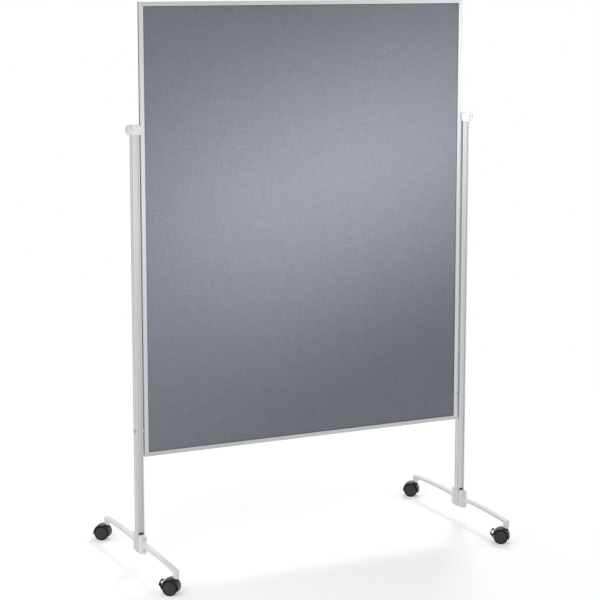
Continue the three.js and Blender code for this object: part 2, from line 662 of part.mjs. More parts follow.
function casterHousing(hasBrake) {
	const wheelRoom = (side) => {
		const from = (side * WEB_THICKNESS) / 2;
		const to = side * 2 * WHEEL_OUTER;
		return rodY(HOOD_INNER, Math.min(from, to), Math.max(from, to), 0, 0, 28);
	};
	const below = box(6 * WHEEL_RADIUS, 6 * WHEEL_RADIUS, 4 * WHEEL_RADIUS, 0, 0, -2 * WHEEL_RADIUS);
	below.rotateY(-THREE.MathUtils.degToRad(HOOD_TILT)).translate(0, 0, -HOOD_DROP);
	const boss = rodZ(SWIVEL_BOSS_RADIUS, SWIVEL_BOSS_BOTTOM, SWIVEL_BOSS_TOP, 0, 0, 20);
	const swivelBore = rodZ(
		STEM_SWIVEL_RADIUS + FIT,
		SOCKET_BOTTOM - STEM_FLANGE_THICKNESS - STEM_SWIVEL_LENGTH - 2 * FIT,
		SOCKET_BOTTOM,
		0,
		0,
	);
	const cutters = [
		besideAxle(wheelRoom(1)),
		besideAxle(wheelRoom(-1)),
		besideAxle(below),
		besideAxle(rodY(AXLE_RADIUS + FIT, -WEB_THICKNESS, WEB_THICKNESS, 0, 0)),
		swivelBore,
		rodZ(STEM_FLANGE_RADIUS + 2 * FIT, SWIVEL_BOSS_TOP, SOCKET_BOTTOM, 0, 0, 20),
	];
	if (hasBrake) {
		cutters.push(...brakeRoom().map(besideAxle));
	}
	return cut(join(besideAxle(hoodDisc()), boss), ...cutters);
}

// What is cut from a housing for the brake pedal: a notch in the hood, a slot in the web, and
// the holes for the pedal's pin.
function brakeRoom() {
	const eye = PEDAL_EYE_RADIUS + 1;
	const slotStart = PEDAL_PIVOT.x - eye;
	const slotLength = WHEEL_RADIUS;
	const slotTop = PEDAL_PIVOT.y + eye;
	const notchWidth = PEDAL_WIDTH + 4 * FIT;
	const slotWidth = PEDAL_TONGUE + 2 * FIT;
	const notchStart = WHEEL_RADIUS - 1;
	const middle = slotTop - WHEEL_RADIUS / 2;
	return [
		box(slotLength, notchWidth, WHEEL_RADIUS, notchStart + slotLength / 2, 0, middle),
		box(slotLength, slotWidth, WHEEL_RADIUS, slotStart + slotLength / 2, 0, middle),
		rodY(PEDAL_PIN_RADIUS + FIT, -WEB_THICKNESS, WEB_THICKNESS, PEDAL_PIVOT.x, PEDAL_PIVOT.y, 12),
	];
}

// The outline of a strip of one thickness along a bent line.
function strip(line, wall) {
	const side = (sign) => line.map((point, i) => {
		const before = line[Math.max(i - 1, 0)];
		const after = line[Math.min(i + 1, line.length - 1)];
		const into = point.clone().sub(before).normalize();
		const out = after.clone().sub(point).normalize();
		const along = into.add(out).normalize();
		const normal = new THREE.Vector2(-along.y, along.x);
		return point.clone().addScaledVector(normal, (sign * wall) / 2);
	});
	return new THREE.Shape([...side(1), ...side(-1).reverse()]);
}

// The brake pedal, raised: an open hook outside the hood, whose tongue turns on a pin in the web.
function brakePedal() {
	const rootAngle = THREE.MathUtils.degToRad(PEDAL_ROOT_ANGLE);
	const rootRadius = HOOD_OUTER + PEDAL_WALL;
	const root = new THREE.Vector2(WHEEL_RADIUS + HOOD_WALL, 0);
	const hook = strip([
		new THREE.Vector2(rootRadius * Math.cos(rootAngle), rootRadius * Math.sin(rootAngle)),
		new THREE.Vector2(HOOD_OUTER + PEDAL_LIP, PEDAL_TOP),
		new THREE.Vector2(HOOD_OUTER + PEDAL_REACH, PEDAL_TIP_HEIGHT),
		new THREE.Vector2(HOOD_OUTER + PEDAL_LIP / 2, 0),
		root,
	], PEDAL_WALL);
	const tongue = strip([PEDAL_PIVOT, root], PEDAL_EYE_RADIUS);
	const halfPin = WEB_THICKNESS / 2 - FIT;
	return besideAxle(join(
		alongY(hook, PEDAL_WIDTH),
		alongY(tongue, PEDAL_TONGUE),
		rodY(PEDAL_EYE_RADIUS, -PEDAL_TONGUE / 2, PEDAL_TONGUE / 2, PEDAL_PIVOT.x, PEDAL_PIVOT.y),
		rodY(PEDAL_PIN_RADIUS, -halfPin, halfPin, PEDAL_PIVOT.x, PEDAL_PIVOT.y, 12),
	));
}

// A wheel about Y on the +Y side of the web, with a flat of its many sides towards the floor.
function casterWheel() {
	const radius = WHEEL_RADIUS / Math.cos(Math.PI / WHEEL_SIDES);
	const bore = AXLE_RADIUS + FIT;
	const face = WHEEL_OUTER - WHEEL_DISH_DEPTH;
	const path = new THREE.Path();
	path.moveTo(0, AXLE_END + FIT);
	path.lineTo(bore, AXLE_END + FIT);
	path.lineTo(bore, WHEEL_INNER);
	path.lineTo(radius - WHEEL_ROUND, WHEEL_INNER);
	path.quadraticCurveTo(radius, WHEEL_INNER, radius, WHEEL_INNER + WHEEL_ROUND);
	path.lineTo(radius, WHEEL_OUTER - WHEEL_ROUND);
	path.quadraticCurveTo(radius, WHEEL_OUTER, radius - WHEEL_ROUND, WHEEL_OUTER);
	path.lineTo(WHEEL_DISH_RADIUS + WHEEL_DISH_DEPTH, WHEEL_OUTER);
	path.lineTo(WHEEL_DISH_RADIUS, face);
	path.lineTo(0, face);
	const lathe = new THREE.LatheGeometry(path.getPoints(1), WHEEL_SIDES, Math.PI / WHEEL_SIDES);
	return lathe;
}

function casterAssembly(sideX, sideY) {
	const name = `${sideY > 0 ? 'rear' : 'front'}_${sideX > 0 ? 'right' : 'left'}`;
	const hasBrake = sideY < 0;
	const group = new THREE.Group();
	group.position.set(sideX * POST_AXIS, sideY * STEM_DISTANCE, 0);
	const swivelling = new THREE.Group();
	swivelling.rotation.z = THREE.MathUtils.degToRad(CASTER_HEADING);
	const axle = besideAxle(rodY(AXLE_RADIUS, -AXLE_END, AXLE_END, 0, 0));
	const near = piece(`${name}_wheel_near`, casterWheel(), FINISH.wheel);
	near.position.set(TRAIL, 0, WHEEL_RADIUS);
	const far = piece(`${name}_wheel_far`, casterWheel(), FINISH.wheel);
	far.position.set(TRAIL, 0, WHEEL_RADIUS);
	far.rotation.z = Math.PI;
	swivelling.add(
		piece(`${name}_caster_housing`, casterHousing(hasBrake), FINISH.blackNylon),
		piece(`${name}_caster_axle`, axle, FINISH.steel),
		near,
		far,
	);
	if (hasBrake) {
		swivelling.add(piece(`${name}_brake_pedal`, brakePedal(), FINISH.blackNylon));
	}
	group.add(piece(`${name}_caster_stem`, casterStem(), FINISH.zinc), swivelling);
	return group;
}

// ---------- the whole partition ----------
const partition = new THREE.Group();
partition.add(...boardPanel(), ...boardRails());
for (const side of [-1, 1]) {
	const name = side > 0 ? 'right' : 'left';
	partition.add(
		cornerKey(`top_${name}_corner_key`, side, 1),
		cornerKey(`bottom_${name}_corner_key`, side, -1),
		postAssembly(side),
		footAssembly(side),
		casterAssembly(side, -1),
		casterAssembly(side, 1),
	);
}

export default partition;
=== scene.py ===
import json
import math
import bmesh
import bpy
from mathutils import Matrix, Vector, noise


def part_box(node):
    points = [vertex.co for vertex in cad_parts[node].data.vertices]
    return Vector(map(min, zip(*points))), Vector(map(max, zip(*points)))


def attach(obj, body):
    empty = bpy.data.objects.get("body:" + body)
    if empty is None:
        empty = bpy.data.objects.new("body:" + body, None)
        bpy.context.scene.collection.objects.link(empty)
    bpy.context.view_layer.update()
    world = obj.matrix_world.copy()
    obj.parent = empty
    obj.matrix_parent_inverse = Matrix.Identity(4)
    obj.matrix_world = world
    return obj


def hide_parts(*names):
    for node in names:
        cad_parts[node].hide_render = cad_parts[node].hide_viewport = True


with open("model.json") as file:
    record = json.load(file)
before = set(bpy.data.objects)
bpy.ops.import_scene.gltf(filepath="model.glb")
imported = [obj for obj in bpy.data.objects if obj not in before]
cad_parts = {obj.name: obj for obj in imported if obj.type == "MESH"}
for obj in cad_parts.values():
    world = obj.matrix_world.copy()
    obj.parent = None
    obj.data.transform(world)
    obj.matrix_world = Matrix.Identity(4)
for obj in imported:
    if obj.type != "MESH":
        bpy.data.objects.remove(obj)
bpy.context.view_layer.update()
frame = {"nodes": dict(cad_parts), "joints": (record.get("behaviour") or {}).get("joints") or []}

# ---------------------------------------------------------------- frame rails and posts
# Channel-section rails mitred round the board, and the two posts: extruded aluminium, satin
# anodised. The die leaves fine lines along each length, and the anodising a soft, even sheen.
# The construction's own meshes are right here, so they only get their finish, with shade painted
# into the posts' channels and side lines, and the level rails painted darker than the uprights.
ANODISED_LIGHT = (0.645, 0.65, 0.66, 1)
ANODISED_DARK = (0.56, 0.565, 0.58, 1)
# Painted shade: the level rails' tone is scaled down from the uprights' tone.
LEVEL_PAINTED_SHADE = 0.86
ANODISED_ROUGHNESS = (0.3, 0.42)
DIE_LINE_SCALE = 2600
DIE_LINE_RELIEF = 3e-5
ALONG_LENGTH = 0.002
GRAIN_SPREAD = (0.3, 0.7)
GRAIN_DETAIL = 3
RELIEF_STRENGTH = 0.35
# Painted shade in the posts' channels and side lines, as shares taken off the tone.
CHANNEL_HALF_WIDTH = 0.008
CHANNEL_PAINTED_SHADE = 0.1
SIDE_LINE_MIDDLE = 0.0091
SIDE_LINE_HALF_WIDTH = 0.0013
SIDE_LINE_PAINTED_SHADE = 0.35


def noise_layer(tree, scale, stretch, detail):
    """Noise in object coordinates, stretched along the axes."""
    place = tree.nodes.new("ShaderNodeTexCoord")
    mapping = tree.nodes.new("ShaderNodeMapping")
    mapping.inputs["Scale"].default_value = stretch
    tree.links.new(place.outputs["Object"], mapping.inputs["Vector"])
    grain = tree.nodes.new("ShaderNodeTexNoise")
    grain.inputs["Scale"].default_value = scale
    grain.inputs["Detail"].default_value = detail
    tree.links.new(mapping.outputs["Vector"], grain.inputs["Vector"])
    return grain.outputs["Fac"]


def toned(tree, value, spread, dark, light):
    """A colour from dark to light, by where a value lies in a spread."""
    tone = tree.nodes.new("ShaderNodeValToRGB")
    for stop, position, colour in zip(tone.color_ramp.elements, spread, (dark, light)):
        stop.position = position
        stop.color = colour
    tree.links.new(value, tone.inputs["Fac"])
    return tone.outputs["Color"]


def in_relief(tree, height, strength, distance):
    """Raises the surface a little by a height."""
    bump = tree.nodes.new("ShaderNodeBump")
    bump.inputs["Strength"].default_value = strength
    bump.inputs["Distance"].default_value = distance
    tree.links.new(height, bump.inputs["Height"])
    tree.links.new(bump.outputs["Normal"], tree.nodes["Principled BSDF"].inputs["Normal"])


def grained(name, light, dark, roughness, metallic, scale, relief, stretch=(1, 1, 1)):
    """A material whose tone, roughness and relief follow one fine grain."""
    material = bpy.data.materials.new(name)
    material.use_nodes = True
    tree = material.node_tree
    shader = tree.nodes["Principled BSDF"]
    shader.inputs["Metallic"].default_value = metallic
    grain = noise_layer(tree, scale, stretch, GRAIN_DETAIL)
    tree.links.new(toned(tree, grain, GRAIN_SPREAD, dark, light), shader.inputs["Base Color"])
    rough = tree.nodes.new("ShaderNodeMapRange")
    rough.inputs["To Min"].default_value = roughness[0]
    rough.inputs["To Max"].default_value = roughness[1]
    tree.links.new(grain, rough.inputs["Value"])
    tree.links.new(rough.outputs["Result"], shader.inputs["Roughness"])
    in_relief(tree, grain, RELIEF_STRENGTH, relief)
    return material


def dress(node, material):
    """Gives a node of the construction its finish."""
    frame["nodes"][node].data.materials.clear()
    frame["nodes"][node].data.materials.append(material)


# A share below 1 paints the tone darker; the level rails use it as painted shade.
def anodised(name, stretch, shade=1.0):
    light, dark = [(*(shade * part for part in tone[:3]), 1) for tone in (ANODISED_LIGHT, ANODISED_DARK)]
    return grained(
        name, light, dark, roughness=ANODISED_ROUGHNESS, metallic=1, scale=DIE_LINE_SCALE,
        relief=DIE_LINE_RELIEF, stretch=stretch,
    )


def calculate(tree, operation, *values):
    """The result of a sum on numbers or on other nodes' results."""
    node = tree.nodes.new("ShaderNodeMath")
    node.operation = operation
    for socket, value in zip(node.inputs, values):
        if isinstance(value, float):
            socket.default_value = value
        else:
            tree.links.new(value, socket)
    return node.outputs["Value"]


def object_place(tree):
    """A point's place, as separate X, Y and Z."""
    place = tree.nodes.new("ShaderNodeTexCoord")
    split = tree.nodes.new("ShaderNodeSeparateXYZ")
    tree.links.new(place.outputs["Object"], split.inputs["Vector"])
    return split.outputs


def dim(tree, colour, share):
    """Uses a share of a colour as the base colour."""
    dimmed = tree.nodes.new("ShaderNodeVectorMath")
    dimmed.operation = "SCALE"
    tree.links.new(colour, dimmed.inputs["Vector"])
    tree.links.new(share, dimmed.inputs["Scale"])
    tree.links.new(dimmed.outputs["Vector"], tree.nodes["Principled BSDF"].inputs["Base Color"])


def paint_groove_shade(material, post_axis):
    """Paints shade into the tone of both posts along their channels and side lines."""
    tree = material.node_tree
    place = object_place(tree)
    across = calculate(tree, "ABSOLUTE", place["X"])
    depth = calculate(tree, "ABSOLUTE", place["Y"])
    in_channel = calculate(tree, "COMPARE", across, post_axis, CHANNEL_HALF_WIDTH)
    in_line = calculate(tree, "COMPARE", depth, SIDE_LINE_MIDDLE, SIDE_LINE_HALF_WIDTH)
    channel_shade = calculate(tree, "MULTIPLY", in_channel, CHANNEL_PAINTED_SHADE)
    line_shade = calculate(tree, "MULTIPLY", in_line, SIDE_LINE_PAINTED_SHADE)
    painted_shade = calculate(tree, "ADD", channel_shade, line_shade)
    tone = tree.nodes["Principled BSDF"].inputs["Base Color"].links[0].from_socket
    dim(tree, tone, calculate(tree, "SUBTRACT", 1.0, painted_shade))


# The level rails get a darker copy of the anodised finish, as painted shade.
anodised_level_painted_shade = anodised("anodised_level_painted_shade", (ALONG_LENGTH, 1, 1), LEVEL_PAINTED_SHADE)
anodised_upright = anodised("anodised_upright", (1, 1, ALONG_LENGTH))
anodised_post = anodised("anodised_post", (1, 1, ALONG_LENGTH))
right_post_low, right_post_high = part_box("right_post")
# Painted shade: the posts' channels and side lines are darkened in the tone.
paint_groove_shade(anodised_post, (right_post_low.x + right_post_high.x) / 2)
for side in ("left", "right"):
    dress(f"{side}_rail", anodised_upright)
    dress(f"{side}_post", anodised_post)
for rail in ("top_rail", "bottom_rail"):
    dress(rail, anodised_level_painted_shade)

# ---------------------------------------------------------------- what the frame hides
# Zinc-plated angle keys hold the mitres, plates take the studs' threads, and a soft fibreboard
# core carries the felt. They show only when the board is taken apart.
CORNERS = ("front_left", "front_right", "rear_left", "rear_right")

zinc = grained(
    "bright_zinc", light=(0.86, 0.87, 0.87, 1), dark=(0.72, 0.74, 0.76, 1), roughness=(0.25, 0.4),
    metallic=1, scale=900, relief=2e-5,
)
fibreboard = grained(
    "fibreboard", light=(0.40, 0.29, 0.18, 1), dark=(0.25, 0.17, 0.10, 1), roughness=(0.85, 0.95),
    metallic=0, scale=700, relief=4e-4,
)
turned_steel = grained(
    "turned_steel", light=(0.68, 0.69, 0.70, 1), dark=(0.56, 0.57, 0.59, 1), roughness=(0.22, 0.36),
    metallic=1, scale=2000, relief=2e-5,
)
dress("board_core", fibreboard)
for end in ("top", "bottom"):
    for side in ("left", "right"):
        dress(f"{end}_{side}_corner_key", zinc)
for side in ("left", "right"):
    dress(f"{side}_stud_plate", zinc)
    dress(f"{side}_clamp_stud", turned_steel)
for corner in CORNERS:
    dress(f"{corner}_caster_axle", turned_steel)

# ---------------------------------------------------------------- felts
# A sheet of needled blue-grey felt on each face of the core, glued down and caught under the
# frame's lips, with shade painted darker along the lips' edges. Needling leaves a faint cross grain
# and soft mottling, and the face isn't dead flat.
FELT_LIGHT = (0.246, 0.255, 0.291, 1)
FELT_DARK = (0.198, 0.205, 0.233, 1)
FELT_SPREAD = (0.38, 0.62)
FELT_ROUGHNESS = 0.95
FELT_SPECULAR = 0.05
FELT_SHEEN = 0.07
FELT_SHEEN_ROUGHNESS = 0.5
FELT_CELL = 0.012
FELT_WAVE = 0.00012
FELT_WAVE_LENGTH = 0.11
FELT_FIBRE_SCALE = 1500
FELT_MOTTLE_SCALE = 130
CROSS_GRAIN_SCALE = 420
CROSS_GRAIN_STRETCH = 0.07
FELT_RELIEF = 0.0005
FELT_RELIEF_STRENGTH = 0.6
# Painted shade along the frame's lips: its width, and the share of the tone left at the lip.
LIP_SHADE_WIDTH = 0.0045
LIP_PAINTED_SHADE = 0.7
SHARP_FROM = math.radians(40)

opening_low = Vector((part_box("left_rail")[1].x, 0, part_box("bottom_rail")[1].z))
opening_high = Vector((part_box("right_rail")[0].x, 0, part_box("top_rail")[0].z))
opening_centre = (opening_low + opening_high) / 2
opening_half = (opening_high - opening_low) / 2


def needled_felt():
    material = bpy.data.materials.new("needled_felt")
    material.use_nodes = True
    tree = material.node_tree
    shader = tree.nodes["Principled BSDF"]
    shader.inputs["Roughness"].default_value = FELT_ROUGHNESS
    shader.inputs["Specular IOR Level"].default_value = FELT_SPECULAR
    shader.inputs["Sheen Weight"].default_value = FELT_SHEEN
    shader.inputs["Sheen Roughness"].default_value = FELT_SHEEN_ROUGHNESS
    fibres = noise_layer(tree, FELT_FIBRE_SCALE, (1, 1, 1), 4)
    mottle = noise_layer(tree, FELT_MOTTLE_SCALE, (1, 1, 1), 2)
    level_grain = noise_layer(tree, CROSS_GRAIN_SCALE, (CROSS_GRAIN_STRETCH, 1, 1), 2)
    upright_grain = noise_layer(tree, CROSS_GRAIN_SCALE, (1, 1, CROSS_GRAIN_STRETCH), 2)
    grains = calculate(tree, "ADD", level_grain, upright_grain)
    coarse = calculate(tree, "ADD", grains, mottle)
    shade = calculate(tree, "MULTIPLY", calculate(tree, "ADD", coarse, fibres), 0.25)
    tone = toned(tree, shade, FELT_SPREAD, FELT_DARK, FELT_LIGHT)
    place = object_place(tree)
    across = calculate(tree, "ABSOLUTE", calculate(tree, "SUBTRACT", place["X"], opening_centre.x))
    up = calculate(tree, "ABSOLUTE", calculate(tree, "SUBTRACT", place["Z"], opening_centre.z))
    from_side = calculate(tree, "SUBTRACT", opening_half.x, across)
    from_end = calculate(tree, "SUBTRACT", opening_half.z, up)
    # Painted shade: the felt's tone darkens within a few millimetres of the frame's lips.
    lip_shade = tree.nodes.new("ShaderNodeMapRange")
    lip_shade.inputs["From Max"].default_value = LIP_SHADE_WIDTH
    lip_shade.inputs["To Min"].default_value = LIP_PAINTED_SHADE
    tree.links.new(calculate(tree, "MINIMUM", from_side, from_end), lip_shade.inputs["Value"])
    dim(tree, tone, lip_shade.outputs["Result"])
    in_relief(tree, calculate(tree, "ADD", fibres, grains), FELT_RELIEF_STRENGTH, FELT_RELIEF)
    return material


def finished(name, bm, material, body, slot, *nodes):
    """Turns a bmesh into a piece that rides on a body and stands for nodes of the construction."""
    mesh = bpy.data.meshes.new(name)
    bm.to_mesh(mesh)
    bm.free()
    mesh.materials.append(material)
    mesh.shade_smooth()
    mesh.set_sharp_from_angle(angle=SHARP_FROM)
    made = bpy.data.objects.new(name, mesh)
    bpy.context.scene.collection.objects.link(made)
    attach(made, body)
    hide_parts(*nodes)
    return made


felt_material = needled_felt()
for face, outward in (("front", -1), ("back", 1)):
    low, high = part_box(f"felt_{face}")
    width, thickness, height = high - low
    inner = low.y if outward > 0 else high.y
    upright = Matrix.Translation(((low.x + high.x) / 2, inner, (low.z + high.z) / 2))
    upright @= Matrix.Rotation(math.radians(90), 4, "X") @ Matrix.Diagonal((width, height, 1, 1))
    bm = bmesh.new()
    columns = round(width / FELT_CELL)
    rows = round(height / FELT_CELL)
    bmesh.ops.create_grid(bm, x_segments=columns, y_segments=rows, size=0.5, matrix=upright)
    raised = bmesh.ops.extrude_face_region(bm, geom=bm.faces[:])["geom"]
    shown = [v for v in raised if isinstance(v, bmesh.types.BMVert)]
    bmesh.ops.translate(bm, verts=shown, vec=(0, outward * (thickness - FELT_WAVE), 0))
    for v in shown:
        v.co.y += outward * FELT_WAVE * noise.noise(v.co / FELT_WAVE_LENGTH)
    bmesh.ops.recalc_face_normals(bm, faces=bm.faces[:])
    felt = finished(f"felt_sheet_{face}", bm, felt_material, "stand", "felt", f"felt_{face}")

# ---------------------------------------------------------------- top brackets
# A light grey moulded block closes each post's top and reaches across to the side of the board,
# with all its edges rounded. Its tongue fills the top of the post's hollow, and the clamp's stud
# passes through it.
BRACKET_HEIGHT = 0.0317
BRACKET_CORNER = 0.003
BRACKET_EDGE = 0.0011
TONGUE_WIDTH = 0.0176
TONGUE_DEPTH = 0.0186
STUD_RADIUS = 0.004
FIT = 0.0003

moulded_grey = grained(
    "moulded_grey", light=(0.74, 0.75, 0.76, 1), dark=(0.69, 0.70, 0.715, 1), roughness=(0.42, 0.56),
    metallic=0, scale=1800, relief=5e-5,
)


def block(bm, low, high):
    """Adds a box between two corners."""
    centre = (low + high) / 2
    size = Matrix.Diagonal((*(high - low), 1))
    bmesh.ops.create_cube(bm, size=1, matrix=Matrix.Translation(centre) @ size)


def rounded(bm, edges, width, segments):
    bmesh.ops.bevel(
        bm, geom=list(edges), offset=width, segments=segments, profile=0.5,
        affect="EDGES", clamp_overlap=True, material=-1,
    )


def crisp(bm, verts=None, angle=35):
    """The edges that turn by more than an angle, in degrees."""
    wanted = set(verts) if verts is not None else set(bm.verts)
    turn = math.radians(angle)
    inside = [e for e in bm.edges if len(e.link_faces) == 2 and set(e.verts) <= wanted]
    return [e for e in inside if e.calc_face_angle() > turn]


def temporary(name, bm):
    """A solid that is used up in a later one."""
    bmesh.ops.recalc_face_normals(bm, faces=bm.faces[:])
    mesh = bpy.data.meshes.new(name)
    bm.to_mesh(mesh)
    bm.free()
    made = bpy.data.objects.new(name, mesh)
    bpy.context.scene.collection.objects.link(made)
    return made


def rod(name, radius, start, end, segments=40):
    """A rod from one point to another, for a bore."""
    along = end - start
    turn = along.to_track_quat("Z", "Y").to_matrix().to_4x4()
    place = Matrix.Translation((start + end) / 2) @ turn
    bm = bmesh.new()
    bmesh.ops.create_cone(
        bm, cap_ends=True, segments=segments, radius1=radius, radius2=radius,
        depth=along.length, matrix=place,
    )
    return temporary(name, bm)


def fused(body, joined=(), cut=()):
    """The body with solids joined to it and cut from it, as one new mesh."""
    for operation, solids in (("UNION", joined), ("DIFFERENCE", cut)):
        for solid in solids:
            step = body.modifiers.new(operation, "BOOLEAN")
            step.operation = operation
            step.solver = "EXACT"
            step.object = solid
    graph = bpy.context.evaluated_depsgraph_get()
    mesh = bpy.data.meshes.new_from_object(body.evaluated_get(graph))
    for used in (body, *joined, *cut):
        bpy.data.objects.remove(used)
    return mesh


for side in ("left", "right"):
    low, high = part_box(f"{side}_top_bracket")
    base = high.z - BRACKET_HEIGHT
    bm = bmesh.new()
    block(bm, Vector((low.x, low.y, base)), high)
    uprights = [e for e in bm.edges if abs((e.verts[0].co - e.verts[1].co).z) > BRACKET_HEIGHT / 2]
    rounded(bm, uprights, BRACKET_CORNER, 5)
    rounded(bm, crisp(bm), BRACKET_EDGE, 3)
    shell = temporary("shell", bm)
    post_low, post_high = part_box(f"{side}_post")
    post_axis = (post_low.x + post_high.x) / 2
    corner = Vector((TONGUE_WIDTH / 2, TONGUE_DEPTH / 2, 0))
    bm = bmesh.new()
    foot = Vector((post_axis, 0, low.z))
    head = Vector((post_axis, 0, base + BRACKET_CORNER))
    block(bm, foot - corner, head + corner)
    tongue = temporary("tongue", bm)
    stud_low, stud_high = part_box(f"{side}_clamp_stud")
    stud_height = (stud_low.z + stud_high.z) / 2
    bore = rod(
        "stud_bore", STUD_RADIUS + FIT,
        Vector((stud_low.x, 0, stud_height)), Vector((stud_high.x, 0, stud_height)),
    )
    bm = bmesh.new()
    bm.from_mesh(fused(shell, (tongue,), (bore,)))
    finished(f"{side}_bracket", bm, moulded_grey, "stand", "grey_plastic", f"{side}_top_bracket")

# ---------------------------------------------------------------- clamp knobs
# A fluted hand knob on the outer side of each bracket, moulded round the end of its stud, with a
# full, rounded crown. Turned against the bracket it clamps the post to the side of the board.
KNOB_RADIUS = 0.0165
KNOB_THICKNESS = 0.015
KNOB_FOOT = 0.0007
KNOB_SHOULDER = 0.0075
KNOB_CROWN_RADIUS = 0.008
KNOB_FLUTES = 10
KNOB_FLUTE_DEPTH = 0.0008
KNOB_STEPS = 120
STUD_GRIP = 0.008


def arc(centre, radii, start, end, steps):
    """Points of radius and height on part of an ellipse, between two angles in degrees."""
    points = []
    for i in range(steps + 1):
        angle = math.radians(start + (end - start) * i / steps)
        points.append((centre[0] + radii[0] * math.cos(angle), centre[1] + radii[1] * math.sin(angle)))
    return points


def turned(bm, outline, segments, matrix=Matrix()):
    """Adds a closed solid turned about Z from points of radius and height that start and end on
    the axis, and gives its vertices."""
    line = [bm.verts.new((radius, 0, height)) for radius, height in outline]
    edges = [bm.edges.new(pair) for pair in zip(line, line[1:])]
    before = set(bm.verts) - set(line)
    bmesh.ops.spin(
        bm, geom=line + edges, cent=(0, 0, 0), axis=(0, 0, 1), angle=2 * math.pi,
        steps=segments, use_merge=True,
    )
    made = [v for v in bm.verts if v not in before]
    bmesh.ops.remove_doubles(bm, verts=made, dist=1e-6)
    made = [v for v in bm.verts if v not in before]
    bmesh.ops.transform(bm, matrix=matrix, verts=made)
    return made


stud_bore = STUD_RADIUS + FIT
bore_end = STUD_GRIP + FIT
shoulder = (KNOB_RADIUS - KNOB_CROWN_RADIUS, KNOB_SHOULDER)
knob_outline = [
    (0, bore_end),
    (stud_bore, bore_end),
    (stud_bore, 0),
    (KNOB_RADIUS - KNOB_FOOT, 0),
    (KNOB_RADIUS, KNOB_FOOT),
    *arc((KNOB_CROWN_RADIUS, KNOB_THICKNESS - KNOB_SHOULDER), shoulder, 0, 90, 14),
    (0, KNOB_THICKNESS),
]
for side, outward in (("left", -1), ("right", 1)):
    low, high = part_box(f"{side}_clamp_knob")
    seat = high.x if outward < 0 else low.x
    bm = bmesh.new()
    turned(bm, knob_outline, KNOB_STEPS)
    for v in bm.verts:
        reach = (v.co.xy.length - KNOB_CROWN_RADIUS) / (KNOB_RADIUS - KNOB_CROWN_RADIUS)
        hollow = max(0.0, math.cos(KNOB_FLUTES * math.atan2(v.co.y, v.co.x))) ** 2
        depth = KNOB_FLUTE_DEPTH * hollow * max(0.0, reach)
        v.co.xy *= 1 - depth / KNOB_RADIUS
    turn = Matrix.Rotation(math.radians(90 * outward), 4, "Y")
    place = Matrix.Translation((seat, (low.y + high.y) / 2, (low.z + high.z) / 2)) @ turn
    bmesh.ops.transform(bm, matrix=place, verts=bm.verts[:])
    bmesh.ops.recalc_face_normals(bm, faces=bm.faces[:])
    finished(f"{side}_knob", bm, moulded_grey, f"{side}_knob", "grey_plastic", f"{side}_clamp_knob")

# ---------------------------------------------------------------- post end caps and lower fixings
# A moulded cap closes each post's lower end. A spacer ring and a socket screw hold the post to
# the board's side near its lower corner.
SCREW_RADIUS = 0.003
SCREW_HEAD_RADIUS = 0.0055
SCREW_HEAD_LENGTH = 0.0035
KEY_RADIUS = 0.0022
KEY_DEPTH = 0.0018
KEY_LEAD_IN = 1.25
KEY_POINT = 1.2
SCREW_CHAMFER = 0.0004
SPACER_RADIUS = 0.008
SPACER_EDGE = 0.0003


def socket_head(bm, radius, length, shank_radius, shank_length, matrix):
    """Adds a screw along Z, its head's face at z = 0 and its shank below, with a hexagon socket."""
    turned(bm, [
        (0, -length - shank_length),
        (shank_radius - SCREW_CHAMFER, -length - shank_length),
        (shank_radius, -length - shank_length + SCREW_CHAMFER),
        (shank_radius, -length),
        (radius, -length),
        (radius, -SCREW_CHAMFER),
        (radius - SCREW_CHAMFER, 0),
        (KEY_RADIUS * KEY_LEAD_IN, 0),
        (KEY_RADIUS, -SCREW_CHAMFER),
        (KEY_RADIUS, -KEY_DEPTH),
        (0, -KEY_DEPTH * KEY_POINT),
    ], 36, matrix)


for side, outward in (("left", -1), ("right", 1)):
    dress(f"{side}_post_end_cap", moulded_grey)
    low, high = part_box(f"{side}_lower_screw")
    turn = Matrix.Rotation(math.radians(90 * outward), 4, "Y")
    face = high.x if outward > 0 else low.x
    place = Matrix.Translation((face, (low.y + high.y) / 2, (low.z + high.z) / 2)) @ turn
    bm = bmesh.new()
    length = (high.x - low.x) - SCREW_HEAD_LENGTH
    socket_head(bm, SCREW_HEAD_RADIUS, SCREW_HEAD_LENGTH, SCREW_RADIUS, length, place)
    bmesh.ops.recalc_face_normals(bm, faces=bm.faces[:])
    finished(f"{side}_socket_screw", bm, turned_steel, "stand", "steel", f"{side}_lower_screw")
    low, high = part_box(f"{side}_lower_spacer")
    half = (high.x - low.x) / 2
    bore = SCREW_RADIUS + FIT
    bm = bmesh.new()
    ring = [(bore, -half), (SPACER_RADIUS, -half), (SPACER_RADIUS, half), (bore, half), (bore, -half)]
    turned(bm, ring, 40, Matrix.Translation((low + high) / 2) @ turn)
    rounded(bm, crisp(bm), SPACER_EDGE, 2)
    bmesh.ops.recalc_face_normals(bm, faces=bm.faces[:])
    finished(f"{side}_spacer_ring", bm, moulded_grey, "stand", "grey_plastic", f"{side}_lower_spacer")

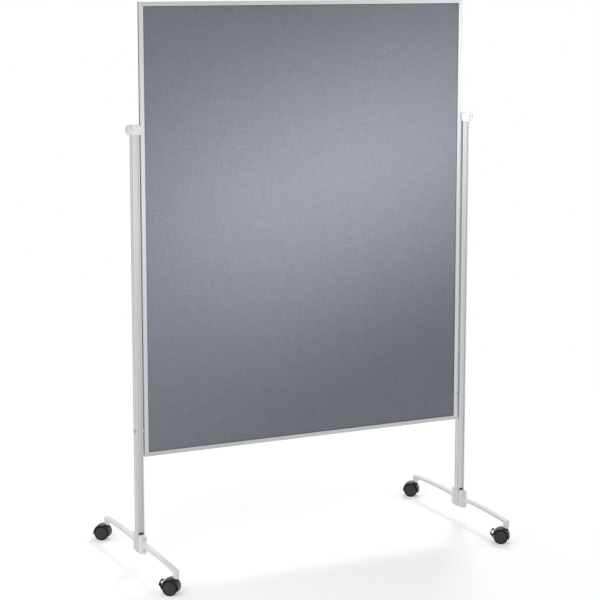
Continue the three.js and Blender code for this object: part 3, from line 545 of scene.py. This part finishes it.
# ---------------------------------------------------------------- foot arms
# Each foot is two castings bolted through the post: a round boss, an arched arm and an upright
# socket for the caster's stem, with soft fillets between them under a light grey powder coat.
BOSS_RADIUS = 0.013
BOSS_TOP = 0.112
BOSS_BOTTOM = 0.050
BOSS_ROUND = 0.0028
PAD_WIDTH = 0.023
POST_HALF_DEPTH = 0.014
BOSS_DISTANCE = POST_HALF_DEPTH + BOSS_RADIUS
ARM_HALF_WIDTH = 0.010
ARM_TOP_AT_BOSS = 0.088
ARM_TOP_AT_SOCKET = 0.082
ARM_ARCH_TOP = 0.092
ARM_THICKNESS_AT_BOSS = 0.0125
ARM_THICKNESS_AT_SOCKET = 0.010
ARM_ROUND = 0.003
ARM_STEPS = 28
STEM_DISTANCE = 0.322
SOCKET_BOTTOM = 0.056
SOCKET_EDGE = 0.0008
STEM_GRIP_RADIUS = 0.0055
STEM_GRIP_LENGTH = 0.023
BOLT_HEIGHTS = (0.063, 0.101)
BOLT_RADIUS = 0.003
BOLT_HEAD_RADIUS = 0.005
BOLT_HEAD_LENGTH = 0.006
BOLT_HEAD_SINK = 0.0015
BOLT_ENGAGEMENT = 0.016
CAST_VOXEL = 0.0011
CAST_SMOOTHING = 5
CUTTER_REACH = 0.05

powder_coat = grained(
    "light_grey_powder_coat", light=(0.86, 0.87, 0.88, 1), dark=(0.81, 0.82, 0.835, 1),
    roughness=(0.36, 0.48), metallic=0, scale=1100, relief=8e-5,
)


def curve_between(start, control, end, steps):
    """Points on the quadratic curve from start to end that is drawn towards a control point."""
    points = []
    for i in range(steps + 1):
        t = i / steps
        points.append((1 - t) ** 2 * start + 2 * t * (1 - t) * control + t ** 2 * end)
    return points


def arm_bar():
    middle = (BOSS_DISTANCE + STEM_DISTANCE) / 2
    drop = (ARM_THICKNESS_AT_BOSS + ARM_THICKNESS_AT_SOCKET) / 2
    left = -ARM_HALF_WIDTH
    upper = curve_between(
        Vector((left, BOSS_DISTANCE, ARM_TOP_AT_BOSS)),
        Vector((left, middle, ARM_ARCH_TOP)),
        Vector((left, STEM_DISTANCE, ARM_TOP_AT_SOCKET)),
        ARM_STEPS,
    )
    lower = curve_between(
        Vector((left, BOSS_DISTANCE, ARM_TOP_AT_BOSS - ARM_THICKNESS_AT_BOSS)),
        Vector((left, middle, ARM_ARCH_TOP - drop)),
        Vector((left, STEM_DISTANCE, ARM_TOP_AT_SOCKET - ARM_THICKNESS_AT_SOCKET)),
        ARM_STEPS,
    )
    bm = bmesh.new()
    flank = bm.faces.new([bm.verts.new(p) for p in upper + lower[::-1]])
    other = bmesh.ops.extrude_face_region(bm, geom=[flank])["geom"]
    across = [v for v in other if isinstance(v, bmesh.types.BMVert)]
    bmesh.ops.translate(bm, verts=across, vec=(2 * ARM_HALF_WIDTH, 0, 0))
    rounded(bm, crisp(bm), ARM_ROUND, 4)
    return temporary("arm_bar", bm)


def upright_solid(name, outline, distance, segments=64):
    bm = bmesh.new()
    turned(bm, outline, segments, Matrix.Translation((0, distance, 0)))
    rounded(bm, crisp(bm), BOSS_ROUND, 4)
    return temporary(name, bm)


def cast_arm(is_front):
    """One arm towards +Y from the post's axis: joined, bored, then remeshed so that every corner
    gets a casting's fillet."""
    boss_outline = [(0, BOSS_BOTTOM), (BOSS_RADIUS, BOSS_BOTTOM), (BOSS_RADIUS, BOSS_TOP), (0, BOSS_TOP)]
    boss = upright_solid("boss", boss_outline, BOSS_DISTANCE)
    socket_outline = [
        (0, SOCKET_BOTTOM),
        (ARM_HALF_WIDTH - SOCKET_EDGE, SOCKET_BOTTOM),
        (ARM_HALF_WIDTH, SOCKET_BOTTOM + SOCKET_EDGE),
        *arc((ARM_HALF_WIDTH - ARM_ROUND, ARM_TOP_AT_SOCKET - ARM_ROUND), (ARM_ROUND, ARM_ROUND), 0, 90, 4),
        (0, ARM_TOP_AT_SOCKET),
    ]
    bm = bmesh.new()
    turned(bm, socket_outline, 64, Matrix.Translation((0, STEM_DISTANCE, 0)))
    socket = temporary("socket", bm)
    seat = POST_HALF_DEPTH + FIT
    bm = bmesh.new()
    pad_low = Vector((-PAD_WIDTH / 2, seat, BOSS_BOTTOM + BOSS_ROUND / 2))
    pad_high = Vector((PAD_WIDTH / 2, BOSS_DISTANCE, BOSS_TOP - BOSS_ROUND / 2))
    block(bm, pad_low, pad_high)
    pad = temporary("pad", bm)
    bm = bmesh.new()
    block(bm, Vector((-CUTTER_REACH, -CUTTER_REACH, 0)), Vector((CUTTER_REACH, seat, 4 * CUTTER_REACH)))
    trim = temporary("trim", bm)
    bores = []
    outside = BOSS_DISTANCE + BOSS_RADIUS
    head_seat = outside - BOLT_HEAD_SINK - BOLT_HEAD_LENGTH
    bolt_end = head_seat if is_front else seat + BOLT_ENGAGEMENT
    for height in BOLT_HEIGHTS:
        start = Vector((0, 0, height))
        bores.append(rod("bolt_bore", BOLT_RADIUS + FIT, start, Vector((0, bolt_end + FIT, height))))
        if is_front:
            start = Vector((0, head_seat, height))
            end = Vector((0, 2 * outside, height))
            bores.append(rod("head_bore", BOLT_HEAD_RADIUS + FIT, start, end))
    bm = bmesh.new()
    depth = SOCKET_BOTTOM + STEM_GRIP_LENGTH
    bore_outline = [(0, 0), (STEM_GRIP_RADIUS + FIT, 0), (STEM_GRIP_RADIUS + FIT, depth), (0, depth)]
    turned(bm, bore_outline, 48, Matrix.Translation((0, STEM_DISTANCE, 0)))
    bores.append(temporary("stem_bore", bm))
    mesh = fused(arm_bar(), (boss, socket, pad), (trim, *bores))
    solid = bpy.data.objects.new("cast_arm", mesh)
    bpy.context.scene.collection.objects.link(solid)
    remesh = solid.modifiers.new("even_mesh", "REMESH")
    remesh.mode = "VOXEL"
    remesh.voxel_size = CAST_VOXEL
    soften = solid.modifiers.new("fillets", "SMOOTH")
    soften.factor = 0.5
    soften.iterations = CAST_SMOOTHING
    graph = bpy.context.evaluated_depsgraph_get()
    cast = bpy.data.meshes.new_from_object(solid.evaluated_get(graph))
    bpy.data.objects.remove(solid)
    return cast


for end, is_front in (("front", True), ("rear", False)):
    cast = cast_arm(is_front)
    for side in ("left", "right"):
        low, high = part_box(f"{side}_{end}_arm")
        place = Matrix.Translation(((low.x + high.x) / 2, 0, 0))
        if is_front:
            place @= Matrix.Rotation(math.pi, 4, "Z")
        bm = bmesh.new()
        bm.from_mesh(cast)
        bmesh.ops.transform(bm, matrix=place, verts=bm.verts[:])
        arm = finished(
            f"{side}_{end}_casting", bm, powder_coat, "stand", "grey_casting", f"{side}_{end}_arm"
        )
        arm.data.shade_smooth()

# ---------------------------------------------------------------- foot bolts
# Two socket-head bolts run from the front boss through the post into the rear boss, one above
# the other. Only their heads show, just sunk in the front boss.
for side in ("left", "right"):
    for index, height in enumerate(BOLT_HEIGHTS, 1):
        node = f"{side}_foot_bolt_{index}"
        low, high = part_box(node)
        turn = Matrix.Rotation(math.radians(90), 4, "X")
        place = Matrix.Translation(((low.x + high.x) / 2, low.y, height)) @ turn
        bm = bmesh.new()
        length = (high.y - low.y) - BOLT_HEAD_LENGTH
        socket_head(bm, BOLT_HEAD_RADIUS, BOLT_HEAD_LENGTH, BOLT_RADIUS, length, place)
        bmesh.ops.recalc_face_normals(bm, faces=bm.faces[:])
        finished(f"{side}_socket_bolt_{index}", bm, turned_steel, "stand", "steel", node)

# ---------------------------------------------------------------- caster stems
# A zinc-plated stem is pressed into each socket. Its flange lies under the socket, and the
# housing swivels on the journal below.
STEM_FLANGE_RADIUS = 0.0075
STEM_FLANGE_THICKNESS = 0.0024
STEM_SWIVEL_RADIUS = 0.004
STEM_SWIVEL_LENGTH = 0.023
STEM_EDGE = 0.0004

joints = {joint["name"]: joint for joint in frame["joints"]}
flange_top = SOCKET_BOTTOM - FIT
flange_bottom = flange_top - STEM_FLANGE_THICKNESS
stem_top = SOCKET_BOTTOM + STEM_GRIP_LENGTH - FIT
stem_outline = [
    (0, flange_bottom - STEM_SWIVEL_LENGTH),
    (STEM_SWIVEL_RADIUS, flange_bottom - STEM_SWIVEL_LENGTH),
    (STEM_SWIVEL_RADIUS, flange_bottom),
    (STEM_FLANGE_RADIUS, flange_bottom),
    (STEM_FLANGE_RADIUS, flange_top),
    (STEM_GRIP_RADIUS, flange_top),
    (STEM_GRIP_RADIUS, stem_top),
    (0, stem_top),
]
for corner in CORNERS:
    x, y, _ = joints[f"{corner}_swivel_turn"]["pos_m"]
    bm = bmesh.new()
    turned(bm, stem_outline, 40, Matrix.Translation((x, y, 0)))
    rounded(bm, crisp(bm), STEM_EDGE, 2)
    bmesh.ops.recalc_face_normals(bm, faces=bm.faces[:])
    finished(f"{corner}_stem", bm, zinc, "stand", "zinc", f"{corner}_caster_stem")

# ---------------------------------------------------------------- caster housings
# A black nylon moulding: a crowned hood over both wheels, a web between them that holds the
# axle, and an upright boss for the stem. The front ones are notched for the brake pedal.
WHEEL_RADIUS = 0.025
TRAIL = 0.017
WEB_THICKNESS = 0.013
WHEEL_SIDE_GAP = 0.0007
WHEEL_WIDTH = 0.014
HALF_WIDTH = WEB_THICKNESS / 2 + WHEEL_SIDE_GAP + WHEEL_WIDTH
HOOD_GAP = 0.0013
HOOD_WALL = 0.0038
HOOD_CROWN = 0.002
HOOD_CROWN_POWER = 3.2
HOOD_STEPS = 16
HOOD_INNER = WHEEL_RADIUS + HOOD_GAP
HOOD_OUTER = HOOD_INNER + HOOD_WALL
HOOD_TILT = 5
HOOD_DROP = 0.006
HOOD_EDGE = 0.0006
AXLE_BORE = 0.0033
SWIVEL_BOSS_RADIUS = 0.008
SWIVEL_BOSS_BOTTOM = 0.024
SWIVEL_BOSS_TOP = flange_bottom - FIT
PEDAL_WIDTH = 0.023
PEDAL_TONGUE = 0.006
PEDAL_PIVOT = Vector((0.020, 0, 0.008))
PEDAL_EYE_RADIUS = 0.0035
PEDAL_ROOM = 0.001
NOTCH_LAP = 0.001
NYLON_SPECULAR = 0.28

black_nylon = grained(
    "black_nylon", light=(0.022, 0.022, 0.023, 1), dark=(0.013, 0.013, 0.014, 1), roughness=(0.30, 0.46),
    metallic=0, scale=2200, relief=4e-5,
)
black_nylon.node_tree.nodes["Principled BSDF"].inputs["Specular IOR Level"].default_value = NYLON_SPECULAR
about_axle = Matrix.Translation((TRAIL, 0, WHEEL_RADIUS))
lying = Matrix.Rotation(math.radians(-90), 4, "X")


def axle_rod(name, radius, start, end, segments=96):
    """A rod along the axle, for a bore or for the wheels' room."""
    ends = [Vector((TRAIL, across, WHEEL_RADIUS)) for across in (start, end)]
    return rod(name, radius, *ends, segments)


def hood_outline():
    """Radius and distance from the middle, over the crown from one rim to the other."""
    points = [(0, -HALF_WIDTH)]
    for i in range(HOOD_STEPS + 1):
        across = -1 + 2 * i / HOOD_STEPS
        fall = HOOD_CROWN * abs(across) ** HOOD_CROWN_POWER
        points.append((HOOD_OUTER - fall, across * HALF_WIDTH))
    return points + [(0, HALF_WIDTH)]


def caster_housing(has_brake):
    bm = bmesh.new()
    turned(bm, hood_outline(), 128, about_axle @ lying)
    rounded(bm, crisp(bm, angle=50), HOOD_EDGE, 3)
    hood = temporary("hood", bm)
    bm = bmesh.new()
    boss_outline = [
        (0, SWIVEL_BOSS_BOTTOM),
        (SWIVEL_BOSS_RADIUS, SWIVEL_BOSS_BOTTOM),
        (SWIVEL_BOSS_RADIUS, SWIVEL_BOSS_TOP),
        (0, SWIVEL_BOSS_TOP),
    ]
    turned(bm, boss_outline, 56)
    rounded(bm, crisp(bm), HOOD_EDGE, 3)
    boss = temporary("swivel_boss", bm)
    bm = bmesh.new()
    wide = 2 * CUTTER_REACH
    block(bm, Vector((-wide, -wide, -2 * wide)), Vector((wide, wide, 0)))
    tilt = Matrix.Rotation(math.radians(-HOOD_TILT), 4, "Y")
    drop = about_axle @ Matrix.Translation((0, 0, -HOOD_DROP)) @ tilt
    bmesh.ops.transform(bm, matrix=drop, verts=bm.verts[:])
    below = temporary("below", bm)
    web = WEB_THICKNESS / 2
    cutters = [
        axle_rod("near_room", HOOD_INNER, web, 3 * HALF_WIDTH),
        axle_rod("far_room", HOOD_INNER, -3 * HALF_WIDTH, -web),
        below,
        axle_rod("axle_bore", AXLE_BORE, -2 * web, 2 * web, 40),
    ]
    bm = bmesh.new()
    seat = STEM_FLANGE_RADIUS + 2 * FIT
    journal = STEM_SWIVEL_RADIUS + FIT
    journal_bottom = flange_bottom - STEM_SWIVEL_LENGTH - FIT
    turned(bm, [
        (0, journal_bottom),
        (journal, journal_bottom),
        (journal, SWIVEL_BOSS_TOP),
        (seat, SWIVEL_BOSS_TOP),
        (seat, SOCKET_BOTTOM),
        (0, SOCKET_BOTTOM),
    ], 48)
    cutters.append(temporary("stem_room", bm))
    if has_brake:
        eye = PEDAL_EYE_RADIUS + PEDAL_ROOM
        top = PEDAL_PIVOT.z + eye
        for name, start, width in (
            ("pedal_notch", WHEEL_RADIUS - NOTCH_LAP, PEDAL_WIDTH + 4 * FIT),
            ("tongue_slot", PEDAL_PIVOT.x - eye, PEDAL_TONGUE + 2 * FIT),
        ):
            bm = bmesh.new()
            low = Vector((start, -width / 2, top - 2 * WHEEL_RADIUS))
            high = Vector((start + WHEEL_RADIUS, width / 2, top))
            block(bm, low, high)
            bmesh.ops.transform(bm, matrix=about_axle, verts=bm.verts[:])
            cutters.append(temporary(name, bm))
    return fused(hood, (boss,), cutters)


def caster_place(corner):
    """From a caster's own frame, with its wheels trailing along X, to its place at rest."""
    x, y, _ = joints[f"{corner}_swivel_turn"]["pos_m"]
    axle = Vector(joints[f"{corner}_wheel_near_roll"]["pos_m"])
    heading = math.atan2(axle.y - y, axle.x - x)
    return Matrix.Translation((x, y, 0)) @ Matrix.Rotation(heading, 4, "Z")


housings = {True: caster_housing(True), False: caster_housing(False)}
for corner in CORNERS:
    bm = bmesh.new()
    bm.from_mesh(housings[corner.startswith("front")])
    bmesh.ops.transform(bm, matrix=caster_place(corner), verts=bm.verts[:])
    finished(
        f"{corner}_hood", bm, black_nylon, f"{corner}_swivel", "black_nylon", f"{corner}_caster_housing"
    )

# ---------------------------------------------------------------- wheels
# Two nylon wheels a caster, moulded in dark grey-brown, with a harder-wearing black tread and a
# dished disc on the outer face. The treads pick up a little dust.
WHEEL_INNER = WEB_THICKNESS / 2 + WHEEL_SIDE_GAP
AXLE_REACH = 0.011
TREAD_ROUND = 0.0022
DISC_RADIUS = 0.0205
DISC_DEPTH = 0.0012
DISC_RISE_TO_RING = 0.0002
DISC_RISE_IN_RING = 0.0001
DISC_RISE_TO_HUB = 0.0003
RIM_LIP = 0.0008
RIM_EDGE = 0.0002
RIM_EDGE_DEPTH = 0.0003
RIM_GROOVE_WIDTH = 0.0007
RIM_GROOVE_DEPTH = 0.0003
RING_RADIUS = 0.0135
RING_WIDTH = 0.0007
RING_SLOPE = 0.0005
RING_HEIGHT = 0.0005
HUB_RADIUS = 0.0062
HUB_FOOT = 0.0003
HUB_EDGE = 0.0005
HUB_SHOULDER = 0.0010
HUB_HEIGHT = 0.0012
INNER_DISH_FROM = 0.008
INNER_DISH_TO = 0.0215
INNER_DISH_SLOPE = 0.0005
INNER_DISH_DEPTH = 0.0012
DISC_SPECULAR = 0.35
TREAD_SPECULAR = 0.25

wheel_disc = grained(
    "wheel_disc", light=(0.049, 0.046, 0.042, 1), dark=(0.036, 0.034, 0.031, 1), roughness=(0.40, 0.58),
    metallic=0, scale=1500, relief=6e-5,
)
tread = grained(
    "wheel_tread", light=(0.014, 0.014, 0.013, 1), dark=(0.008, 0.008, 0.008, 1), roughness=(0.5, 0.72),
    metallic=0, scale=900, relief=8e-5,
)
for dull, level in ((wheel_disc, DISC_SPECULAR), (tread, TREAD_SPECULAR)):
    dull.node_tree.nodes["Principled BSDF"].inputs["Specular IOR Level"].default_value = level

outer = WHEEL_INNER + WHEEL_WIDTH
disc = outer - DISC_DEPTH
tread_centre = WHEEL_RADIUS - TREAD_ROUND
tread_round = (TREAD_ROUND, TREAD_ROUND)
wheel_outline = [
    (0, WHEEL_INNER + AXLE_REACH + FIT),
    (AXLE_BORE, WHEEL_INNER + AXLE_REACH + FIT),
    (AXLE_BORE, WHEEL_INNER),
    (INNER_DISH_FROM, WHEEL_INNER),
    (INNER_DISH_FROM + INNER_DISH_SLOPE, WHEEL_INNER + INNER_DISH_DEPTH),
    (INNER_DISH_TO - INNER_DISH_SLOPE, WHEEL_INNER + INNER_DISH_DEPTH),
    (INNER_DISH_TO, WHEEL_INNER),
    *arc((tread_centre, WHEEL_INNER + TREAD_ROUND), tread_round, -90, 0, 5),
    *arc((tread_centre, outer - TREAD_ROUND), tread_round, 0, 90, 5),
    (DISC_RADIUS + RIM_LIP, outer),
    (DISC_RADIUS + RIM_EDGE, outer - RIM_EDGE_DEPTH),
    (DISC_RADIUS, disc),
    (DISC_RADIUS - RIM_GROOVE_WIDTH, disc - RIM_GROOVE_DEPTH),
    (RING_RADIUS + RING_SLOPE, disc + DISC_RISE_TO_RING),
    (RING_RADIUS, disc + RING_HEIGHT),
    (RING_RADIUS - RING_WIDTH, disc + RING_HEIGHT),
    (RING_RADIUS - RING_WIDTH - RING_SLOPE, disc + DISC_RISE_IN_RING),
    (HUB_RADIUS + HUB_FOOT, disc + DISC_RISE_TO_HUB),
    (HUB_RADIUS, disc + HUB_SHOULDER),
    (HUB_RADIUS - HUB_EDGE, disc + HUB_HEIGHT),
    (0, disc + HUB_HEIGHT),
]
for corner in CORNERS:
    for which, flip in (("near", 0), ("far", math.pi)):
        bm = bmesh.new()
        facing = Matrix.Rotation(flip, 4, "Z")
        place = caster_place(corner) @ about_axle @ facing @ lying
        turned(bm, wheel_outline, 72)
        bmesh.ops.recalc_face_normals(bm, faces=bm.faces[:])
        for face in bm.faces:
            middle = face.calc_center_median()
            face.material_index = 1 if middle.xy.length > DISC_RADIUS + RIM_EDGE else 0
        bmesh.ops.transform(bm, matrix=place, verts=bm.verts[:])
        wheel = finished(
            f"{corner}_{which}_wheel", bm, wheel_disc, f"{corner}_wheel_{which}", "wheel",
            f"{corner}_wheel_{which}",
        )
        wheel.data.materials.append(tread)

# ---------------------------------------------------------------- brake pedals
# On each front caster an open hook of black nylon stands out past the hood. Pressed down, it
# turns on its pin and wedges against both treads.
PEDAL_WALL = 0.0024
PEDAL_REACH = 0.0072
PEDAL_LIP = 0.0024
PEDAL_TOP = 0.0219
PEDAL_TIP_HEIGHT = 0.0097
PEDAL_ROOT_ANGLE = math.radians(41)
PEDAL_PIN_RADIUS = 0.0015
PEDAL_ROUND_SHARE = 0.28


def strip(bm, line, wall, width):
    """Adds a strip of one thickness along a bent line in the XZ plane, across the axle."""
    sides = {1: [], -1: []}
    for i, point in enumerate(line):
        into = (point - line[max(i - 1, 0)]).normalized()
        out = (line[min(i + 1, len(line) - 1)] - point).normalized()
        along = (into + out).normalized()
        normal = Vector((-along.z, 0, along.x))
        for sign, points in sides.items():
            points.append(point + normal * sign * wall / 2 - Vector((0, width / 2, 0)))
    before = set(bm.verts)
    flank = bm.faces.new([bm.verts.new(p) for p in sides[1] + sides[-1][::-1]])
    other = bmesh.ops.extrude_face_region(bm, geom=[flank])["geom"]
    across = [v for v in other if isinstance(v, bmesh.types.BMVert)]
    bmesh.ops.translate(bm, verts=across, vec=(0, width, 0))
    made = [v for v in bm.verts if v not in before]
    bmesh.ops.recalc_face_normals(bm, faces=list({f for v in made for f in v.link_faces}))
    rounded(bm, crisp(bm, made, 60), wall * PEDAL_ROUND_SHARE, 3)


for corner in ("front_left", "front_right"):
    root = Vector((WHEEL_RADIUS + HOOD_WALL, 0, 0))
    rim = HOOD_OUTER + PEDAL_WALL
    bm = bmesh.new()
    strip(bm, [
        Vector((rim * math.cos(PEDAL_ROOT_ANGLE), 0, rim * math.sin(PEDAL_ROOT_ANGLE))),
        Vector((HOOD_OUTER + PEDAL_LIP, 0, PEDAL_TOP)),
        Vector((HOOD_OUTER + PEDAL_REACH, 0, PEDAL_TIP_HEIGHT)),
        Vector((HOOD_OUTER + PEDAL_LIP / 2, 0, 0)),
        root,
    ], PEDAL_WALL, PEDAL_WIDTH)
    strip(bm, [PEDAL_PIVOT, root], PEDAL_EYE_RADIUS, PEDAL_TONGUE)
    for radius, half in ((PEDAL_EYE_RADIUS, PEDAL_TONGUE / 2), (PEDAL_PIN_RADIUS, WEB_THICKNESS / 2 - FIT)):
        pin_place = Matrix.Translation(PEDAL_PIVOT) @ lying
        turned(bm, [(0, -half), (radius, -half), (radius, half), (0, half)], 32, pin_place)
    bmesh.ops.transform(bm, matrix=caster_place(corner) @ about_axle, verts=bm.verts[:])
    bmesh.ops.recalc_face_normals(bm, faces=bm.faces[:])
    finished(
        f"{corner}_pedal", bm, black_nylon, f"{corner}_brake_pedal", "black_nylon", f"{corner}_brake_pedal"
    )

# ---------------------------------------------------------------- floor, light and camera
# A white studio. A soft lamp high behind the right throws the shadows forwards, a slanted softbox lights
# a band across the felt, and three lamps that only gloss sees draw the edges of posts and hoods. The
# camera stands off the left.
FLOOR_WHITE = (0.9, 0.9, 0.9, 1)
FLOOR_SIZE = 30
FLOOR_LIFT = 0.33
FLOOR_FADE_START = 1.3
FLOOR_FADE_END = 3.2
SKY_LEVEL = 0.6
SKY_TINT = (0.98, 0.99, 1.0, 1)
WHITE = (1, 1, 1, 1)

floor_mesh = bpy.data.meshes.new("studio_floor")
bm = bmesh.new()
bmesh.ops.create_grid(bm, x_segments=1, y_segments=1, size=FLOOR_SIZE)
bm.to_mesh(floor_mesh)
bm.free()
floor = bpy.data.objects.new("studio_floor", floor_mesh)
bpy.context.scene.collection.objects.link(floor)


def seen_directly(tree):
    """1 for a ray from the camera, or one that a gloss or a clear body passes on."""
    path = tree.nodes.new("ShaderNodeLightPath").outputs
    through = calculate(tree, "MAXIMUM", path["Is Glossy Ray"], path["Is Transmission Ray"])
    return calculate(tree, "MAXIMUM", path["Is Camera Ray"], through)


floor_material = bpy.data.materials.new("studio_white")
floor_material.use_nodes = True
tree = floor_material.node_tree
floor_shader = tree.nodes["Principled BSDF"]
floor_shader.inputs["Base Color"].default_value = FLOOR_WHITE
floor_shader.inputs["Roughness"].default_value = 0.9
floor_shader.inputs["Specular IOR Level"].default_value = 0
floor_shader.inputs["Emission Color"].default_value = WHITE
lift = calculate(tree, "MULTIPLY", seen_directly(tree), FLOOR_LIFT)
tree.links.new(lift, floor_shader.inputs["Emission Strength"])
place = tree.nodes.new("ShaderNodeTexCoord")
distance = tree.nodes.new("ShaderNodeVectorMath")
distance.operation = "LENGTH"
tree.links.new(place.outputs["Object"], distance.inputs[0])
fade = tree.nodes.new("ShaderNodeMapRange")
fade.interpolation_type = "SMOOTHSTEP"
fade.inputs["From Min"].default_value = FLOOR_FADE_START
fade.inputs["From Max"].default_value = FLOOR_FADE_END
tree.links.new(distance.outputs["Value"], fade.inputs["Value"])
far = calculate(tree, "MULTIPLY", fade.outputs["Result"], seen_directly(tree))
backdrop = tree.nodes.new("ShaderNodeEmission")
into_white = tree.nodes.new("ShaderNodeMixShader")
tree.links.new(far, into_white.inputs["Fac"])
tree.links.new(floor_shader.outputs["BSDF"], into_white.inputs[1])
tree.links.new(backdrop.outputs["Emission"], into_white.inputs[2])
tree.links.new(into_white.outputs["Shader"], tree.nodes["Material Output"].inputs["Surface"])
floor_mesh.materials.append(floor_material)

world = bpy.data.worlds.new("studio")
bpy.context.scene.world = world
world.use_nodes = True
sky = world.node_tree
background = sky.nodes["Background"]
background.inputs["Color"].default_value = SKY_TINT
background.inputs["Strength"].default_value = SKY_LEVEL
white = sky.nodes.new("ShaderNodeBackground")
white.inputs["Color"].default_value = WHITE
white.inputs["Strength"].default_value = 1
choose = sky.nodes.new("ShaderNodeMixShader")
sky.links.new(seen_directly(sky), choose.inputs["Fac"])
sky.links.new(background.outputs["Background"], choose.inputs[1])
sky.links.new(white.outputs["Background"], choose.inputs[2])
sky.links.new(choose.outputs["Shader"], sky.nodes["World Output"].inputs["Surface"])


def softbox(name, centre, aim, size, power, roll=0.0):
    """A rectangular lamp that looks from its centre to a point, turned about that line."""
    data = bpy.data.lights.new(name, "AREA")
    data.shape = "RECTANGLE"
    data.size = size[0]
    data.size_y = size[1]
    data.energy = power
    lamp = bpy.data.objects.new(name, data)
    bpy.context.scene.collection.objects.link(lamp)
    turn = (Vector(aim) - Vector(centre)).to_track_quat("-Z", "Y").to_matrix().to_4x4()
    lamp.matrix_world = Matrix.Translation(centre) @ turn @ Matrix.Rotation(math.radians(roll), 4, "Z")
    lamp.visible_camera = False
    return lamp


softbox("high_lamp", centre=(2.6, 3.2, 4.6), aim=(0, 0, 0.4), size=(1.1, 1.1), power=80)
band_lamp = softbox(
    "band_lamp", centre=(0.185, -1.275, 1.306), aim=(0.185, 0, 1.306), size=(1.47, 0.185), power=3.3,
    roll=14,
)
band_lamp.data.spread = math.radians(62)
side_lamp = softbox("side_lamp", centre=(-1.7, -1.1, 1.1), aim=(-0.6, 0, 1.1), size=(0.6, 1.4), power=8)
for lamp in (band_lamp, side_lamp):
    lamp.visible_glossy = False
for lamp in (
    softbox("right_edge_lamp", centre=(1.96, -2.25, 1.5), aim=(0.62, 0, 1.7), size=(0.7, 0.7), power=3.4),
    softbox("left_edge_lamp", centre=(0.25, -2.25, 1.0), aim=(-0.6, 0, 1.3), size=(0.5, 0.6), power=1.1),
    softbox("low_rear_lamp", centre=(1.35, 2.9, 1.0), aim=(0, 0, 0.05), size=(3, 0.6), power=6),
):
    lamp.visible_diffuse = False

CAMERA_PLACE = (-2.731, -5.6216, 1.994)
CAMERA_YAW = math.radians(25.717)
CAMERA_PITCH = math.radians(8.83)
CAMERA_LENS = 111.15
CAMERA_SHIFT = -0.08

camera_data = bpy.data.cameras.new("camera")
camera_data.sensor_width = 36
camera_data.lens = CAMERA_LENS
camera_data.shift_y = CAMERA_SHIFT
camera_data.clip_end = 100
camera = bpy.data.objects.new("camera", camera_data)
bpy.context.scene.collection.objects.link(camera)
ahead = Vector((
    math.sin(CAMERA_YAW) * math.cos(CAMERA_PITCH),
    math.cos(CAMERA_YAW) * math.cos(CAMERA_PITCH),
    -math.sin(CAMERA_PITCH),
))
camera.location = CAMERA_PLACE
camera.rotation_euler = ahead.to_track_quat("-Z", "Y").to_euler()
bpy.context.scene.camera = camera
bpy.context.scene.view_settings.view_transform = "Standard"
